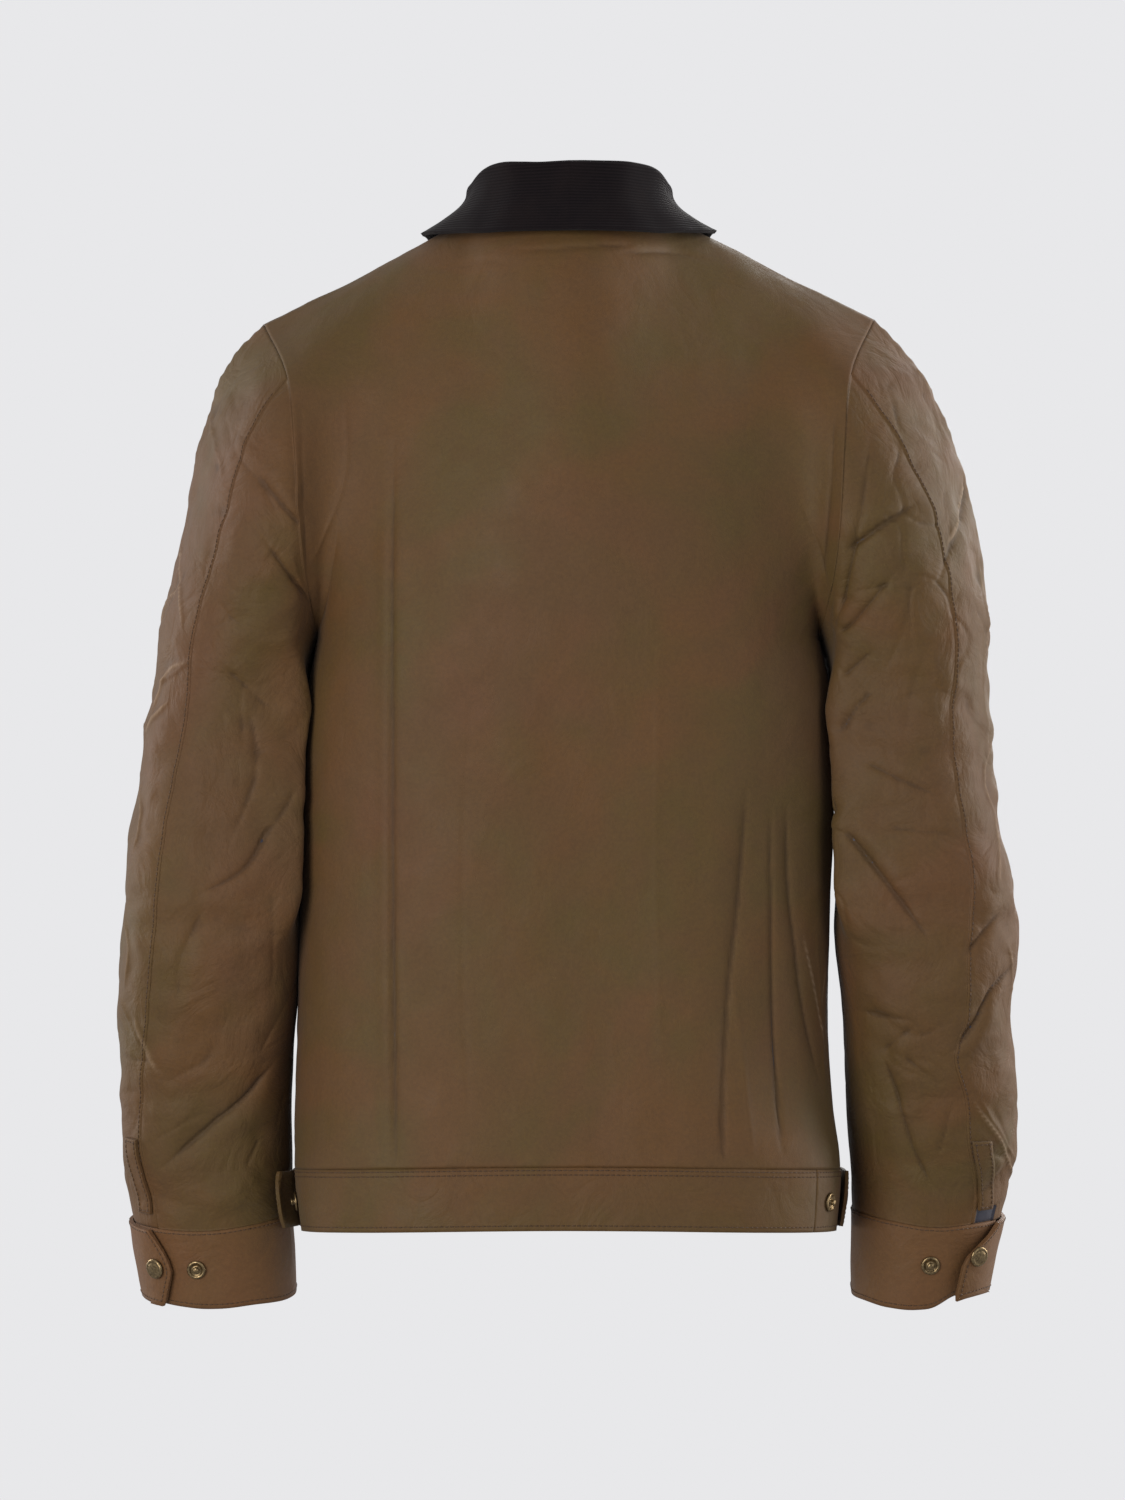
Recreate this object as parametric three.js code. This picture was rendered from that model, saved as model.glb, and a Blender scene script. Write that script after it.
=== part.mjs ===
// A waxed cotton work jacket in the shape that it has when it is worn, with nobody inside it.
// It has a corduroy fall collar, two-piece set-in sleeves with a vent over each cuff, press studs,
// and a waistband with an adjuster tab at each side. The cloth is built as thin walls on one smooth
// garment form: each panel is a grid of points on that form, moved by its folds, with a real thickness.
import * as THREE from "three";

// Frame: millimetres, +X to the wearer's left, the front faces -Y, +Z up.
// The origin is the middle of the neck, level with the shoulders that carry the jacket.
const CLOTH = 1.8; // shell and lining together
const BAND = 2.6; // waistband, cuffs and collar, two layers and their stiffener
const STRIP = 2.2; // plackets and tabs
const SEAM_GAP = 0.3; // between two panels at a seam
const LAY = 0.5; // between a panel and what lies on it
const UNDERARM_Z = -275;
const BAND_TOP_Z = -636;
const HEM_Z = -678;
const BACK_HEM_RISE = 9; // how much higher the band is at the centre back than at the sides
const NECK_POINT = { x: 72, y: -4, z: 14 };
const NECK_BACK = { y: 58, z: 14 };
const NECK_FRONT = { y: -70, z: -55 };
const NECK_SHARE = 0.36; // share of the half width of a panel's top edge that is neckline
const CAP_END_Z = -320; // below this the sleeve is a plain tube
const CUFF_TOP_Z = -673;
const CUFF_HEIGHT = 53;
const FRONT_SEAM_ANGLE = -45; // where the sleeve's two pieces meet in front
const PLACKET_SHARE = 0.09; // half width of the front placket, as a share of a front
const CAP_RADIUS = 7.2;
const STUD_RADIUS = 6.4;

const degrees = THREE.MathUtils.degToRad;
const { clamp, lerp, smoothstep } = THREE.MathUtils;

// The body below the underarm: half widths, and depth from the side seam to the back and the front.
// square is the power of the section's curve: 2 is an ellipse, and more is boxier.
const BODY_SECTIONS = [
  { z: -275, left: 171, right: 171, back: 112, front: 128, square: 2.4 },
  { z: -310, left: 176, right: 176, back: 110, front: 130, square: 2.45 },
  { z: -350, left: 179.5, right: 178.5, back: 107, front: 129, square: 2.5 },
  { z: -400, left: 181, right: 179.5, back: 104, front: 126, square: 2.55 },
  { z: -450, left: 181, right: 178.5, back: 102, front: 123, square: 2.6 },
  { z: -500, left: 181.5, right: 177.5, back: 102, front: 121, square: 2.7 },
  { z: -550, left: 184.5, right: 177.5, back: 104, front: 120, square: 2.8 },
  { z: -600, left: 187.5, right: 181, back: 108, front: 120, square: 2.9 },
  { z: -636, left: 187, right: 185, back: 111, front: 120, square: 3 },
  { z: -678, left: 182.5, right: 182, back: 112, front: 119, square: 3 },
];

// The shoulder seam, from the neck point to the shoulder tip.
const SHOULDER_SEAM = [
  { x: 72, z: 14 },
  { x: 101, z: -2 },
  { x: 125, z: -15 },
  { x: 149, z: -28 },
  { x: 179, z: -42 },
  { x: 208, z: -57 },
];

// Each half of the armhole from the underarm, t = 0, to the shoulder tip, t = 1. The normal is the way out
// of the cloth on both sides of the seam.
const ARMHOLE_BACK = [
  { t: 0, x: 171, y: 0, z: -275, nx: 1, ny: 0, nz: 0 },
  { t: 0.15, x: 172, y: 34, z: -264, nx: 0.5, ny: 0.85, nz: -0.1 },
  { t: 0.32, x: 177, y: 66, z: -236, nx: 0.4, ny: 0.92, nz: -0.05 },
  { t: 0.5, x: 181, y: 82, z: -194, nx: 0.3, ny: 0.95, nz: 0 },
  { t: 0.68, x: 184, y: 80, z: -146, nx: 0.3, ny: 0.92, nz: 0.25 },
  { t: 0.84, x: 190, y: 56, z: -98, nx: 0.35, ny: 0.72, nz: 0.6 },
  { t: 1, x: 208, y: -4, z: -57, nx: 0.5, ny: 0, nz: 0.87 },
];
const ARMHOLE_FRONT = [
  { t: 0, x: 171, y: 0, z: -275, nx: 1, ny: 0, nz: 0 },
  { t: 0.15, x: 170, y: -36, z: -266, nx: 0.5, ny: -0.85, nz: -0.1 },
  { t: 0.32, x: 171, y: -68, z: -236, nx: 0.4, ny: -0.92, nz: -0.05 },
  { t: 0.5, x: 173, y: -86, z: -194, nx: 0.3, ny: -0.95, nz: 0 },
  { t: 0.68, x: 177, y: -84, z: -146, nx: 0.3, ny: -0.92, nz: 0.25 },
  { t: 0.84, x: 187, y: -58, z: -98, nx: 0.35, ny: -0.72, nz: 0.6 },
  { t: 1, x: 208, y: -4, z: -57, nx: 0.5, ny: 0, nz: 0.87 },
];

// How the sleeve leaves the armhole at each angle round it, as a slope in millimetres.
const SLEEVE_LEAVING = [
  { a: 0, x: 26, y: 0, z: -52 },
  { a: 45, x: 34, y: 6, z: -84 },
  { a: 90, x: 90, y: 26, z: -128 },
  { a: 135, x: 165, y: 40, z: -150 },
  { a: 180, x: 182, y: 0, z: -182 },
];

// The sleeve below its cap, for the left and right arms: where its inner and outer sides are, the middle
// and half size of its depth, and how much each ring drops towards the back.
const SLEEVE_RINGS = [
  { z: -320, in_left: 179, out_left: 288.5, in_right: 179, out_right: 288.5, y: -2, deep: 70, drop: 0 },
  { z: -360, in_left: 183, out_left: 294.5, in_right: 182.5, out_right: 290.5, y: 2, deep: 69, drop: 0.01 },
  { z: -400, in_left: 184, out_left: 298.5, in_right: 183.5, out_right: 295.5, y: 5, deep: 67, drop: 0.02 },
  { z: -440, in_left: 184, out_left: 303.5, in_right: 182.5, out_right: 304, y: 7, deep: 66, drop: 0.03 },
  { z: -480, in_left: 183.7, out_left: 307, in_right: 181.5, out_right: 306, y: 6, deep: 64, drop: 0.04 },
  { z: -520, in_left: 186, out_left: 309, in_right: 187, out_right: 301, y: 0, deep: 63, drop: 0.06 },
  { z: -560, in_left: 189.5, out_left: 309, in_right: 189.5, out_right: 304, y: -8, deep: 61, drop: 0.08 },
  { z: -600, in_left: 191.5, out_left: 309.5, in_right: 191.5, out_right: 306, y: -18, deep: 58, drop: 0.1 },
  { z: -640, in_left: 191.5, out_left: 307, in_right: 194.5, out_right: 306, y: -27, deep: 56, drop: 0.1 },
  { z: -673, in_left: 191.5, out_left: 301, in_right: 196, out_right: 298, y: -33, deep: 54, drop: 0.1 },
  { z: -726, in_left: 189.5, out_left: 292, in_right: 196, out_right: 287.5, y: -40, deep: 51, drop: 0.1 },
];
const SLEEVE_SQUARE = 2.4;
// How much higher than an even ring the cuff's seam and its free edge hang, round each arm.
const CUFF_HANG = [
  { a: 0, left_seam: 6, left_edge: 2, right_seam: 8, right_edge: 2 },
  { a: 36, left_seam: 6, left_edge: 2, right_seam: 8.8, right_edge: 2.4 },
  { a: 64, left_seam: 4.2, left_edge: 2.2, right_seam: 7, right_edge: 0.2 },
  { a: 92, left_seam: 1.2, left_edge: 0, right_seam: 3.8, right_edge: 0 },
  { a: 112, left_seam: 1.2, left_edge: 1, right_seam: 4.8, right_edge: 8 },
  { a: 135, left_seam: 1.6, left_edge: 2.2, right_seam: 5, right_edge: 10 },
  { a: 180, left_seam: 2, left_edge: 2.2, right_seam: 4, right_edge: 5 },
  { a: 270, left_seam: 4, left_edge: 2, right_seam: 5, right_edge: 3 },
  { a: 360, left_seam: 6, left_edge: 2, right_seam: 8, right_edge: 2 },
];
const CUFF_HANG_FROM = -590;
// The back of the sleeve's inner side lies against the rounded side of the body.
const NESTLE = { angle: 50, spread: 20, depth: 21, top_z: -275, bottom_z: -500 };

// The sleeve's back seam, as an angle round the sleeve: 0 faces the body, 90 is the back, 180 the outside.
const ELBOW_SEAM = [
  { v: 0, left: 150, right: 150 },
  { v: 0.25, left: 140, right: 142 },
  { v: 0.5, left: 128, right: 131 },
  { v: 0.75, left: 118, right: 120 },
  { v: 1, left: 112, right: 112 },
  { v: 1.28, left: 118, right: 112 },
  { v: 1.47, left: 119.5, right: 107.5 },
  { v: 1.59, left: 123, right: 108 },
  { v: 1.66, left: 127, right: 99 },
  { v: 1.74, left: 129, right: 105 },
  { v: 1.84, left: 129, right: 106.5 },
  { v: 1.95, left: 125, right: 116 },
  { v: 2, left: 125, right: 118 },
];

// Folds of the body's cloth. x and z are where a fold starts and ends, rise is outwards.
const BACK_FOLDS = [
  { x0: 120, z0: -125, x1: 120, z1: -640, rise: 3.5, width: 22, bow: 0 },
  { x0: 101, z0: -180, x1: 103, z1: -630, rise: -3, width: 16, bow: 0 },
  { x0: 184, z0: -85, x1: 176, z1: -268, rise: -6, width: 15, bow: 4 },
  { x0: -181, z0: -115, x1: -178, z1: -262, rise: -6, width: 15, bow: -4 },
  { x0: -120, z0: -370, x1: -113, z1: -625, rise: -6, width: 18, bow: 3 },
  { x0: -146, z0: -330, x1: -150, z1: -600, rise: 5, width: 17, bow: 0 },
  { x0: -158, z0: -460, x1: -176, z1: -580, rise: -4, width: 15, bow: 0 },
  { x0: -95, z0: -200, x1: -92, z1: -520, rise: 4, width: 26, bow: 0 },
  { x0: 20, z0: -300, x1: -25, z1: -600, rise: 2.5, width: 40, bow: 0 },
];
const FRONT_FOLDS = [
  { x0: 140, z0: -170, x1: 110, z1: -420, rise: -5, width: 22, bow: 6 },
  { x0: -140, z0: -160, x1: -105, z1: -450, rise: -5, width: 22, bow: -6 },
  { x0: 150, z0: -400, x1: 120, z1: -620, rise: 5, width: 22, bow: 0 },
  { x0: -150, z0: -380, x1: -128, z1: -610, rise: 5, width: 22, bow: 0 },
  { x0: 62, z0: -300, x1: 70, z1: -620, rise: 3, width: 26, bow: 0 },
  { x0: -60, z0: -330, x1: -72, z1: -620, rise: 3, width: 26, bow: 0 },
];

// Folds of the sleeves' cloth. a is the angle round the sleeve in degrees, about a millimetre each.
const LEFT_SLEEVE_FOLDS = [
  { a0: 118, z0: -165, a1: 84, z1: -198, rise: -4, width: 13, bow: 0 },
  { a0: 97, z0: -212, a1: 20, z1: -268, rise: -7, width: 13, bow: -2 },
  { a0: 104, z0: -322, a1: 88, z1: -408, rise: -4, width: 13, bow: 6 },
  { a0: 63, z0: -403, a1: 96, z1: -450, rise: -5, width: 13, bow: 6 },
  { a0: 20, z0: -500, a1: 60, z1: -560, rise: -5, width: 13, bow: -1 },
  { a0: 37, z0: -558, a1: 118, z1: -638, rise: -7, width: 13, bow: -2 },
  { a0: 150, z0: -395, a1: 215, z1: -360, rise: -5, width: 14, bow: 0 },
  { a0: 160, z0: -480, a1: 235, z1: -440, rise: -6, width: 15, bow: 0 },
  { a0: 150, z0: -560, a1: 230, z1: -530, rise: -5, width: 15, bow: 0 },
  { a0: 225, z0: -178, a1: 292, z1: -248, rise: -5, width: 13, bow: 2 },
  { a0: 240, z0: -355, a1: 318, z1: -393, rise: -5, width: 13, bow: 6 },
  { a0: 235, z0: -430, a1: 322, z1: -441, rise: -6, width: 13, bow: -6 },
  { a0: 230, z0: -472, a1: 318, z1: -487, rise: -5, width: 13, bow: 8 },
  { a0: 220, z0: -600, a1: 300, z1: -560, rise: -5, width: 15, bow: 0 },
];
const RIGHT_SLEEVE_FOLDS = [
  { a0: 138, z0: -183, a1: 76, z1: -218, rise: -6, width: 13, bow: -1 },
  { a0: 106, z0: -229, a1: 42, z1: -272, rise: -5, width: 13, bow: -3 },
  { a0: 30, z0: -346, a1: 62, z1: -310, rise: -4, width: 13, bow: 0 },
  { a0: 20, z0: -388, a1: 92, z1: -482, rise: -7, width: 13, bow: -12 },
  { a0: 122, z0: -492, a1: 160, z1: -458, rise: -4, width: 13, bow: 0 },
  { a0: 156, z0: -495, a1: 98, z1: -553, rise: -6, width: 13, bow: 3 },
  { a0: 34, z0: -525, a1: 84, z1: -536, rise: -4, width: 13, bow: 0 },
  { a0: 56, z0: -556, a1: 88, z1: -652, rise: -5, width: 13, bow: 0 },
  { a0: 165, z0: -330, a1: 230, z1: -370, rise: -5, width: 15, bow: 0 },
  { a0: 175, z0: -420, a1: 235, z1: -400, rise: -5, width: 15, bow: 0 },
  { a0: 222, z0: -172, a1: 286, z1: -242, rise: -5, width: 13, bow: 3 },
  { a0: 235, z0: -346, a1: 316, z1: -381, rise: -5, width: 13, bow: 6 },
  { a0: 226, z0: -413, a1: 318, z1: -431, rise: -6, width: 13, bow: -3 },
  { a0: 228, z0: -478, a1: 314, z1: -477, rise: -5, width: 13, bow: 5 },
  { a0: 220, z0: -590, a1: 305, z1: -612, rise: -5, width: 15, bow: 0 },
];

// The jacket hangs unevenly: how far the outer side of each sleeve stands out from the even form.
const UNEVEN = [
  { z: 60, left: 0, right: 0 },
  { z: -16, left: 0, right: 2 },
  { z: -66, left: 4, right: 4 },
  { z: -96, left: 3, right: 7 },
  { z: -137, left: -1, right: 6.5 },
  { z: -187, left: -5, right: 5.5 },
  { z: -237, left: -3.5, right: 4 },
  { z: -287, left: -1.5, right: 1 },
  { z: -337, left: -3, right: -2.5 },
  { z: -387, left: -1, right: -1 },
  { z: -437, left: -1.5, right: 0 },
  { z: -600, left: -1, right: 1 },
  { z: -700, left: 0, right: 0 },
  { z: -900, left: 0, right: 0 },
];
const UNEVEN_FROM = 185;
const UNEVEN_TO = 240;
const RIGHT_SHOULDER_RISE = { rise: 3.2, from_x: 70, to_x: 120, from_z: -220, to_z: -60 };

// One side's sleeve. Angles are where the cuff's overlapping end stops at its top, middle and bottom edge,
// where its cap and the spare stud sit, and flare is how far the end stands off the cuff under it.
const SLEEVES = [
  {
    side: "left",
    mirror: 1,
    folds: LEFT_SLEEVE_FOLDS,
    cuff_start: 158,
    end_top: 130,
    end_middle: 115,
    end_bottom: 125,
    cap: 128,
    cap_k: 0.5,
    stud: 98,
    stud_k: 0.49,
    flare: 2,
  },
  {
    side: "right",
    mirror: -1,
    folds: RIGHT_SLEEVE_FOLDS,
    cuff_start: 150,
    end_top: 145,
    end_middle: 110.5,
    end_bottom: 109,
    cap: 122,
    cap_k: 0.4,
    stud: 91,
    stud_k: 0.46,
    flare: 6,
  },
];

// The collar from the centre back, w = 0, past the neck point, w = 1, to the centre front, w = 2.
// fold is the line where it turns over. edge is the leaf's free edge, given in space up to the neck point.
const COLLAR_FOLD = [
  { w: 0, x: 0, y: 64, z: 42 },
  { w: 0.35, x: 34.5, y: 54.3, z: 42.4 },
  { w: 0.55, x: 50, y: 41, z: 42.3 },
  { w: 0.7, x: 58.5, y: 28, z: 39.8 },
  { w: 0.85, x: 64, y: 13.4, z: 35.5 },
  { w: 1, x: 67, y: -3, z: 31.5 },
  { w: 1.25, x: 64, y: -33, z: 15.5 },
  { w: 1.5, x: 51, y: -57, z: -10 },
  { w: 1.75, x: 29, y: -73, z: -31 },
  { w: 2, x: 5, y: -79, z: -42 },
];
const COLLAR_EDGE = [
  { w: 0, x: 0, y: 79, z: -3 },
  { w: 0.35, x: 40, y: 72, z: -2.5 },
  { w: 0.55, x: 62, y: 58, z: -2 },
  { w: 0.7, x: 77, y: 43, z: 0 },
  { w: 0.85, x: 92, y: 24, z: 2 },
  { w: 1, x: 101, y: 2, z: 3.5 },
];
// Beyond the neck point the leaf's edge lies over the front: c and t are places on the front panel.
const COLLAR_EDGE_ON_FRONT = [
  { w: 1, c: 0.478, t: 1 },
  { w: 1.25, c: 0.46, t: 0.9 },
  { w: 1.5, c: 0.4, t: 0.81 },
  { w: 1.75, c: 0.31, t: 0.73 },
  { w: 2, c: 0.2, t: 0.66 },
];
const COLLAR_ROLL = 3.6; // half the width of the turned-over edge
const COLLAR_CLEAR = 5.5; // from the front panel to the outside of the leaf

// Value at s of a cubic that starts at a and ends at b with those slopes.
function hermite(s, a, b, slopeA, slopeB) {
  const s2 = s * s;
  const s3 = s2 * s;
  return (
    (2 * s3 - 3 * s2 + 1) * a + (s3 - 2 * s2 + s) * slopeA + (3 * s2 - 2 * s3) * b + (s3 - s2) * slopeB
  );
}

// A smooth value of one column of a table where another column, the key, has this value.
function along(table, key, column, at) {
  const last = table.length - 1;
  const way = Math.sign(table[last][key] - table[0][key]);
  let i = 0;
  while (i < last - 1 && way * (at - table[i + 1][key]) > 0) i++;
  const a = table[i];
  const b = table[i + 1];
  const before = table[Math.max(i - 1, 0)];
  const after = table[Math.min(i + 2, last)];
  const width = b[key] - a[key];
  const slopeA = ((b[column] - before[column]) / (b[key] - before[key])) * width;
  const slopeB = ((after[column] - a[column]) / (after[key] - a[key])) * width;
  const s = clamp((at - a[key]) / width, 0, 1);
  return hermite(s, a[column], b[column], slopeA, slopeB);
}

function pointAlong(table, key, at) {
  return new THREE.Vector3(...["x", "y", "z"].map((column) => along(table, key, column, at)));
}

function mixPoints(s, a, b, slopeA, slopeB) {
  return new THREE.Vector3(
    hermite(s, a.x, b.x, slopeA.x, slopeB.x),
    hermite(s, a.y, b.y, slopeA.y, slopeB.y),
    hermite(s, a.z, b.z, slopeA.z, slopeB.z),
  );
}

// A quarter of the body's section at a height, by share of its length: 0 is the centre, 1 the side seam.
// back is true for the back's quarter, and side is left or right. x is always positive.
const QUARTER_STEPS = 90;
const quarters = new Map();
function quarterPoint(z, back, side, share) {
  const key = `${z.toFixed(4)} ${back} ${side}`;
  if (!quarters.has(key)) {
    const halfWidth = along(BODY_SECTIONS, "z", side, z);
    const depth = along(BODY_SECTIONS, "z", back ? "back" : "front", z);
    const power = 2 / along(BODY_SECTIONS, "z", "square", z);
    const points = [];
    for (let i = 0; i <= QUARTER_STEPS; i++) {
      const turn = (Math.PI / 2) * (i / QUARTER_STEPS);
      points.push([halfWidth * Math.sin(turn) ** power, depth * Math.max(Math.cos(turn), 0) ** power]);
    }
    const lengths = [0];
    for (let i = 1; i <= QUARTER_STEPS; i++) {
      const [x0, y0] = points[i - 1];
      const [x1, y1] = points[i];
      lengths.push(lengths[i - 1] + Math.hypot(x1 - x0, y1 - y0));
    }
    quarters.set(key, { points, lengths });
  }
  const { points, lengths } = quarters.get(key);
  const wanted = share * lengths[QUARTER_STEPS];
  let i = 1;
  while (i < QUARTER_STEPS && lengths[i] < wanted) i++;
  const s = (wanted - lengths[i - 1]) / (lengths[i] - lengths[i - 1]);
  const x = lerp(points[i - 1][0], points[i][0], s);
  const y = lerp(points[i - 1][1], points[i][1], s);
  return new THREE.Vector3(x, back ? y : -y, z);
}

// The top edge of a panel's right or left half: the neckline up to NECK_SHARE, then the shoulder seam.
function topEdge(back, share) {
  if (share <= NECK_SHARE) {
    const turn = ((Math.PI / 2) * share) / NECK_SHARE;
    const centre = back ? NECK_BACK : NECK_FRONT;
    const fall = Math.max(Math.cos(turn), 0) ** (back ? 1 : 1.3);
    return new THREE.Vector3(
      NECK_POINT.x * Math.sin(turn),
      lerp(NECK_POINT.y, centre.y, Math.cos(turn)),
      lerp(NECK_POINT.z, centre.z, fall),
    );
  }
  const tip = SHOULDER_SEAM[SHOULDER_SEAM.length - 1];
  const x = lerp(NECK_POINT.x, tip.x, (share - NECK_SHARE) / (1 - NECK_SHARE));
  return new THREE.Vector3(x, NECK_POINT.y, along(SHOULDER_SEAM, "x", "z", x));
}

// One column of the chest and shoulders: it leaves the underarm section upright and turns over at the top.
const QUARTER_TURN = 1.657; // slope that makes a cubic follow a quarter of an ellipse
function shoulderColumn(back, side, share, t) {
  const low = quarterPoint(UNDERARM_Z, back, side, share);
  const high = topEdge(back, share);
  const below = quarterPoint(UNDERARM_Z - 1, back, side, share);
  const rise = low.clone().sub(below);
  const reach = low.distanceTo(high);
  const over = smoothstep(share, NECK_SHARE * 0.3, NECK_SHARE * 1.15);
  const forwards = back ? -1 : 1;
  const atNeck = new THREE.Vector3(0, forwards * (back ? 0.6 : 0.3), back ? 0.8 : 0.95);
  atNeck.multiplyScalar(reach * 0.9);
  const depth = Math.abs(low.y - high.y);
  const atShoulder = new THREE.Vector3(0, forwards, 0.1).multiplyScalar(depth * QUARTER_TURN);
  const end = atNeck.lerp(atShoulder, over);
  rise.multiplyScalar(lerp(reach, (high.z - low.z) * QUARTER_TURN, over));
  return mixPoints(t, low, high, rise, end);
}

function armhole(back, t) {
  return pointAlong(back ? ARMHOLE_BACK : ARMHOLE_FRONT, "t", t);
}

function armholeNormal(back, t) {
  const table = back ? ARMHOLE_BACK : ARMHOLE_FRONT;
  return new THREE.Vector3(...["nx", "ny", "nz"].map((column) => along(table, "t", column, t))).normalize();
}

// How far the body and the sleeve share one normal at the armhole: not at the underarm, where they fold.
function sharedNormal(t) {
  return smoothstep(t, 0.1, 0.32);
}

function hemRise(back, share) {
  return back ? BACK_HEM_RISE * (1 - share ** 2) : 0;
}

// A point of the body's smooth form. c runs from -1 to 1 across a panel, v from 0 at the waistband
// to 1 at the underarm and 2 at the shoulder seam and neckline.
const ARMHOLE_PULL_FROM = 0.4;
function bodyForm(back, c, v) {
  const share = Math.min(Math.abs(c), 1);
  const side = c < 0 ? "right" : "left";
  let p;
  if (v <= 1) {
    p = quarterPoint(lerp(BAND_TOP_Z, UNDERARM_Z, v), back, side, share);
    p.z += hemRise(back, share) * (1 - v) ** 2;
  } else {
    const t = v - 1;
    p = shoulderColumn(back, side, share, t);
    const pull = (Math.max(share - ARMHOLE_PULL_FROM, 0) / (1 - ARMHOLE_PULL_FROM)) ** 2;
    if (pull > 0) p.add(armhole(back, t).sub(shoulderColumn(back, side, 1, t)).multiplyScalar(pull));
  }
  if (c < 0) p.x = -p.x;
  return p;
}

// Where a point of the even form goes as the jacket hangs.
function hang(p) {
  const side = p.x < 0 ? "right" : "left";
  const out = along(UNEVEN, "z", side, p.z) * smoothstep(Math.abs(p.x), UNEVEN_FROM, UNEVEN_TO);
  const { rise, from_x, to_x, from_z, to_z } = RIGHT_SHOULDER_RISE;
  const lifted = rise * smoothstep(-p.x, from_x, to_x) * smoothstep(p.z, from_z, to_z);
  return new THREE.Vector3(p.x + Math.sign(p.x) * out, p.y, p.z + lifted);
}

// The way out of a surface at (u, v), from points close by.
function normalOf(surface, u, v, du, dv) {
  const across = surface(u + du, v).sub(surface(u - du, v));
  const upwards = surface(u, v + dv).sub(surface(u, v - dv));
  return across.cross(upwards).normalize();
}

// Height of the folds at a place on the cloth: each is a soft trough or ridge along a line that may bow.
function foldHeight(folds, u, z, column) {
  let sum = 0;
  for (const fold of folds) {
    const [u0, u1] = [fold[column + "0"], fold[column + "1"]];
    const du = u1 - u0;
    const dz = fold.z1 - fold.z0;
    const length = Math.hypot(du, dz);
    const k = ((u - u0) * du + (z - fold.z0) * dz) / length ** 2;
    if (k <= 0 || k >= 1) continue;
    const off = ((u - u0) * dz - (z - fold.z0) * du) / length - fold.bow * 4 * k * (1 - k);
    sum += fold.rise * Math.sin(Math.PI * k) ** 0.7 * Math.exp(-((off / fold.width) ** 2));
  }
  return sum;
}

// A closed wall between a grid of outside points and the same points moved in by the thickness.
// grid[i][j] holds {p, n}: the outside point and the way out there.
function wallGeometry(grid, thickness, mirrored) {
  const across = grid.length;
  const up = grid[0].length;
  const positions = [];
  for (const depth of [0, thickness]) {
    for (const column of grid) {
      for (const { p, n } of column) positions.push(p.x - n.x * depth, p.y - n.y * depth, p.z - n.z * depth);
    }
  }
  const outside = (i, j) => i * up + j;
  const inside = (i, j) => across * up + i * up + j;
  const index = [];
  const quad = (a, b, c, d) => index.push(a, b, c, a, c, d);
  for (let i = 0; i + 1 < across; i++) {
    for (let j = 0; j + 1 < up; j++) {
      quad(outside(i, j), outside(i + 1, j), outside(i + 1, j + 1), outside(i, j + 1));
      quad(inside(i, j), inside(i, j + 1), inside(i + 1, j + 1), inside(i + 1, j));
    }
    quad(outside(i, 0), inside(i, 0), inside(i + 1, 0), outside(i + 1, 0));
    quad(outside(i, up - 1), outside(i + 1, up - 1), inside(i + 1, up - 1), inside(i, up - 1));
  }
  for (let j = 0; j + 1 < up; j++) {
    quad(outside(0, j), outside(0, j + 1), inside(0, j + 1), inside(0, j));
    quad(outside(across - 1, j), inside(across - 1, j), inside(across - 1, j + 1), outside(across - 1, j + 1));
  }
  if (mirrored) {
    for (let k = 0; k < index.length; k += 3) [index[k + 1], index[k + 2]] = [index[k + 2], index[k + 1]];
  }
  const geometry = new THREE.BufferGeometry();
  geometry.setAttribute("position", new THREE.Float32BufferAttribute(positions, 3));
  geometry.setIndex(index);
  geometry.computeVertexNormals();
  return geometry;
}

function wall(name, material, us, vs, at, thickness, mirrored = false) {
  const placed = ({ p, n }) => ({ p: hang(p), n });
  const grid = us.map((u) => vs.map((v) => placed(at(u, v))));
  const mesh = new THREE.Mesh(wallGeometry(grid, thickness, mirrored), material);
  mesh.name = name;
  return mesh;
}

// Numbers from a to b in equal steps.
function steps(a, b, count) {
  return Array.from({ length: count + 1 }, (_, i) => lerp(a, b, i / count));
}

const waxedCotton = new THREE.MeshStandardMaterial({ color: 0x5d4630, roughness: 0.72, metalness: 0 });
const corduroy = new THREE.MeshStandardMaterial({ color: 0x1f1a1b, roughness: 0.95, metalness: 0 });
const brass = new THREE.MeshStandardMaterial({ color: 0x8a7448, roughness: 0.4, metalness: 0.9 });

const jacket = new THREE.Group();

// A point of the body with its folds, moved out by lift. Panels that face the front run the other way across.
function bodyPoint(back, c, v, lift = 0) {
  const smooth = (cc, vv) => bodyForm(back, cc, vv);
  const inV = Math.min(v, 2 - 1e-3);
  const n = normalOf(smooth, clamp(c, -0.999, 0.999), clamp(inV, 1e-3, 2 - 2e-3), 1e-3, 1e-3);
  if (back) n.negate();
  const p = bodyForm(back, c, v);
  const share = Math.abs(c);
  if (v > 1) {
    const seam = armholeNormal(back, v - 1);
    seam.x *= Math.sign(c) || 1;
    n.lerp(seam, smoothstep(share, 0.9, 0.99) * sharedNormal(v - 1)).normalize();
  }
  const onSeam = smoothstep(v, 1.88, 1.99) * smoothstep(share, NECK_SHARE * 0.7, NECK_SHARE * 0.98);
  n.y *= 1 - onSeam;
  if (v <= 1) n.y *= 1 - smoothstep(share, 0.97, 0.995);
  n.normalize();
  const calm = smoothstep(v, 0, 0.08) * (1 - smoothstep(v, 1.75, 1.95)) * (1 - smoothstep(share, 0.88, 0.99));
  const height = foldHeight(back ? BACK_FOLDS : FRONT_FOLDS, p.x, p.z, "x") * calm;
  return { p: p.addScaledVector(n, height + lift), n };
}

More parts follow.
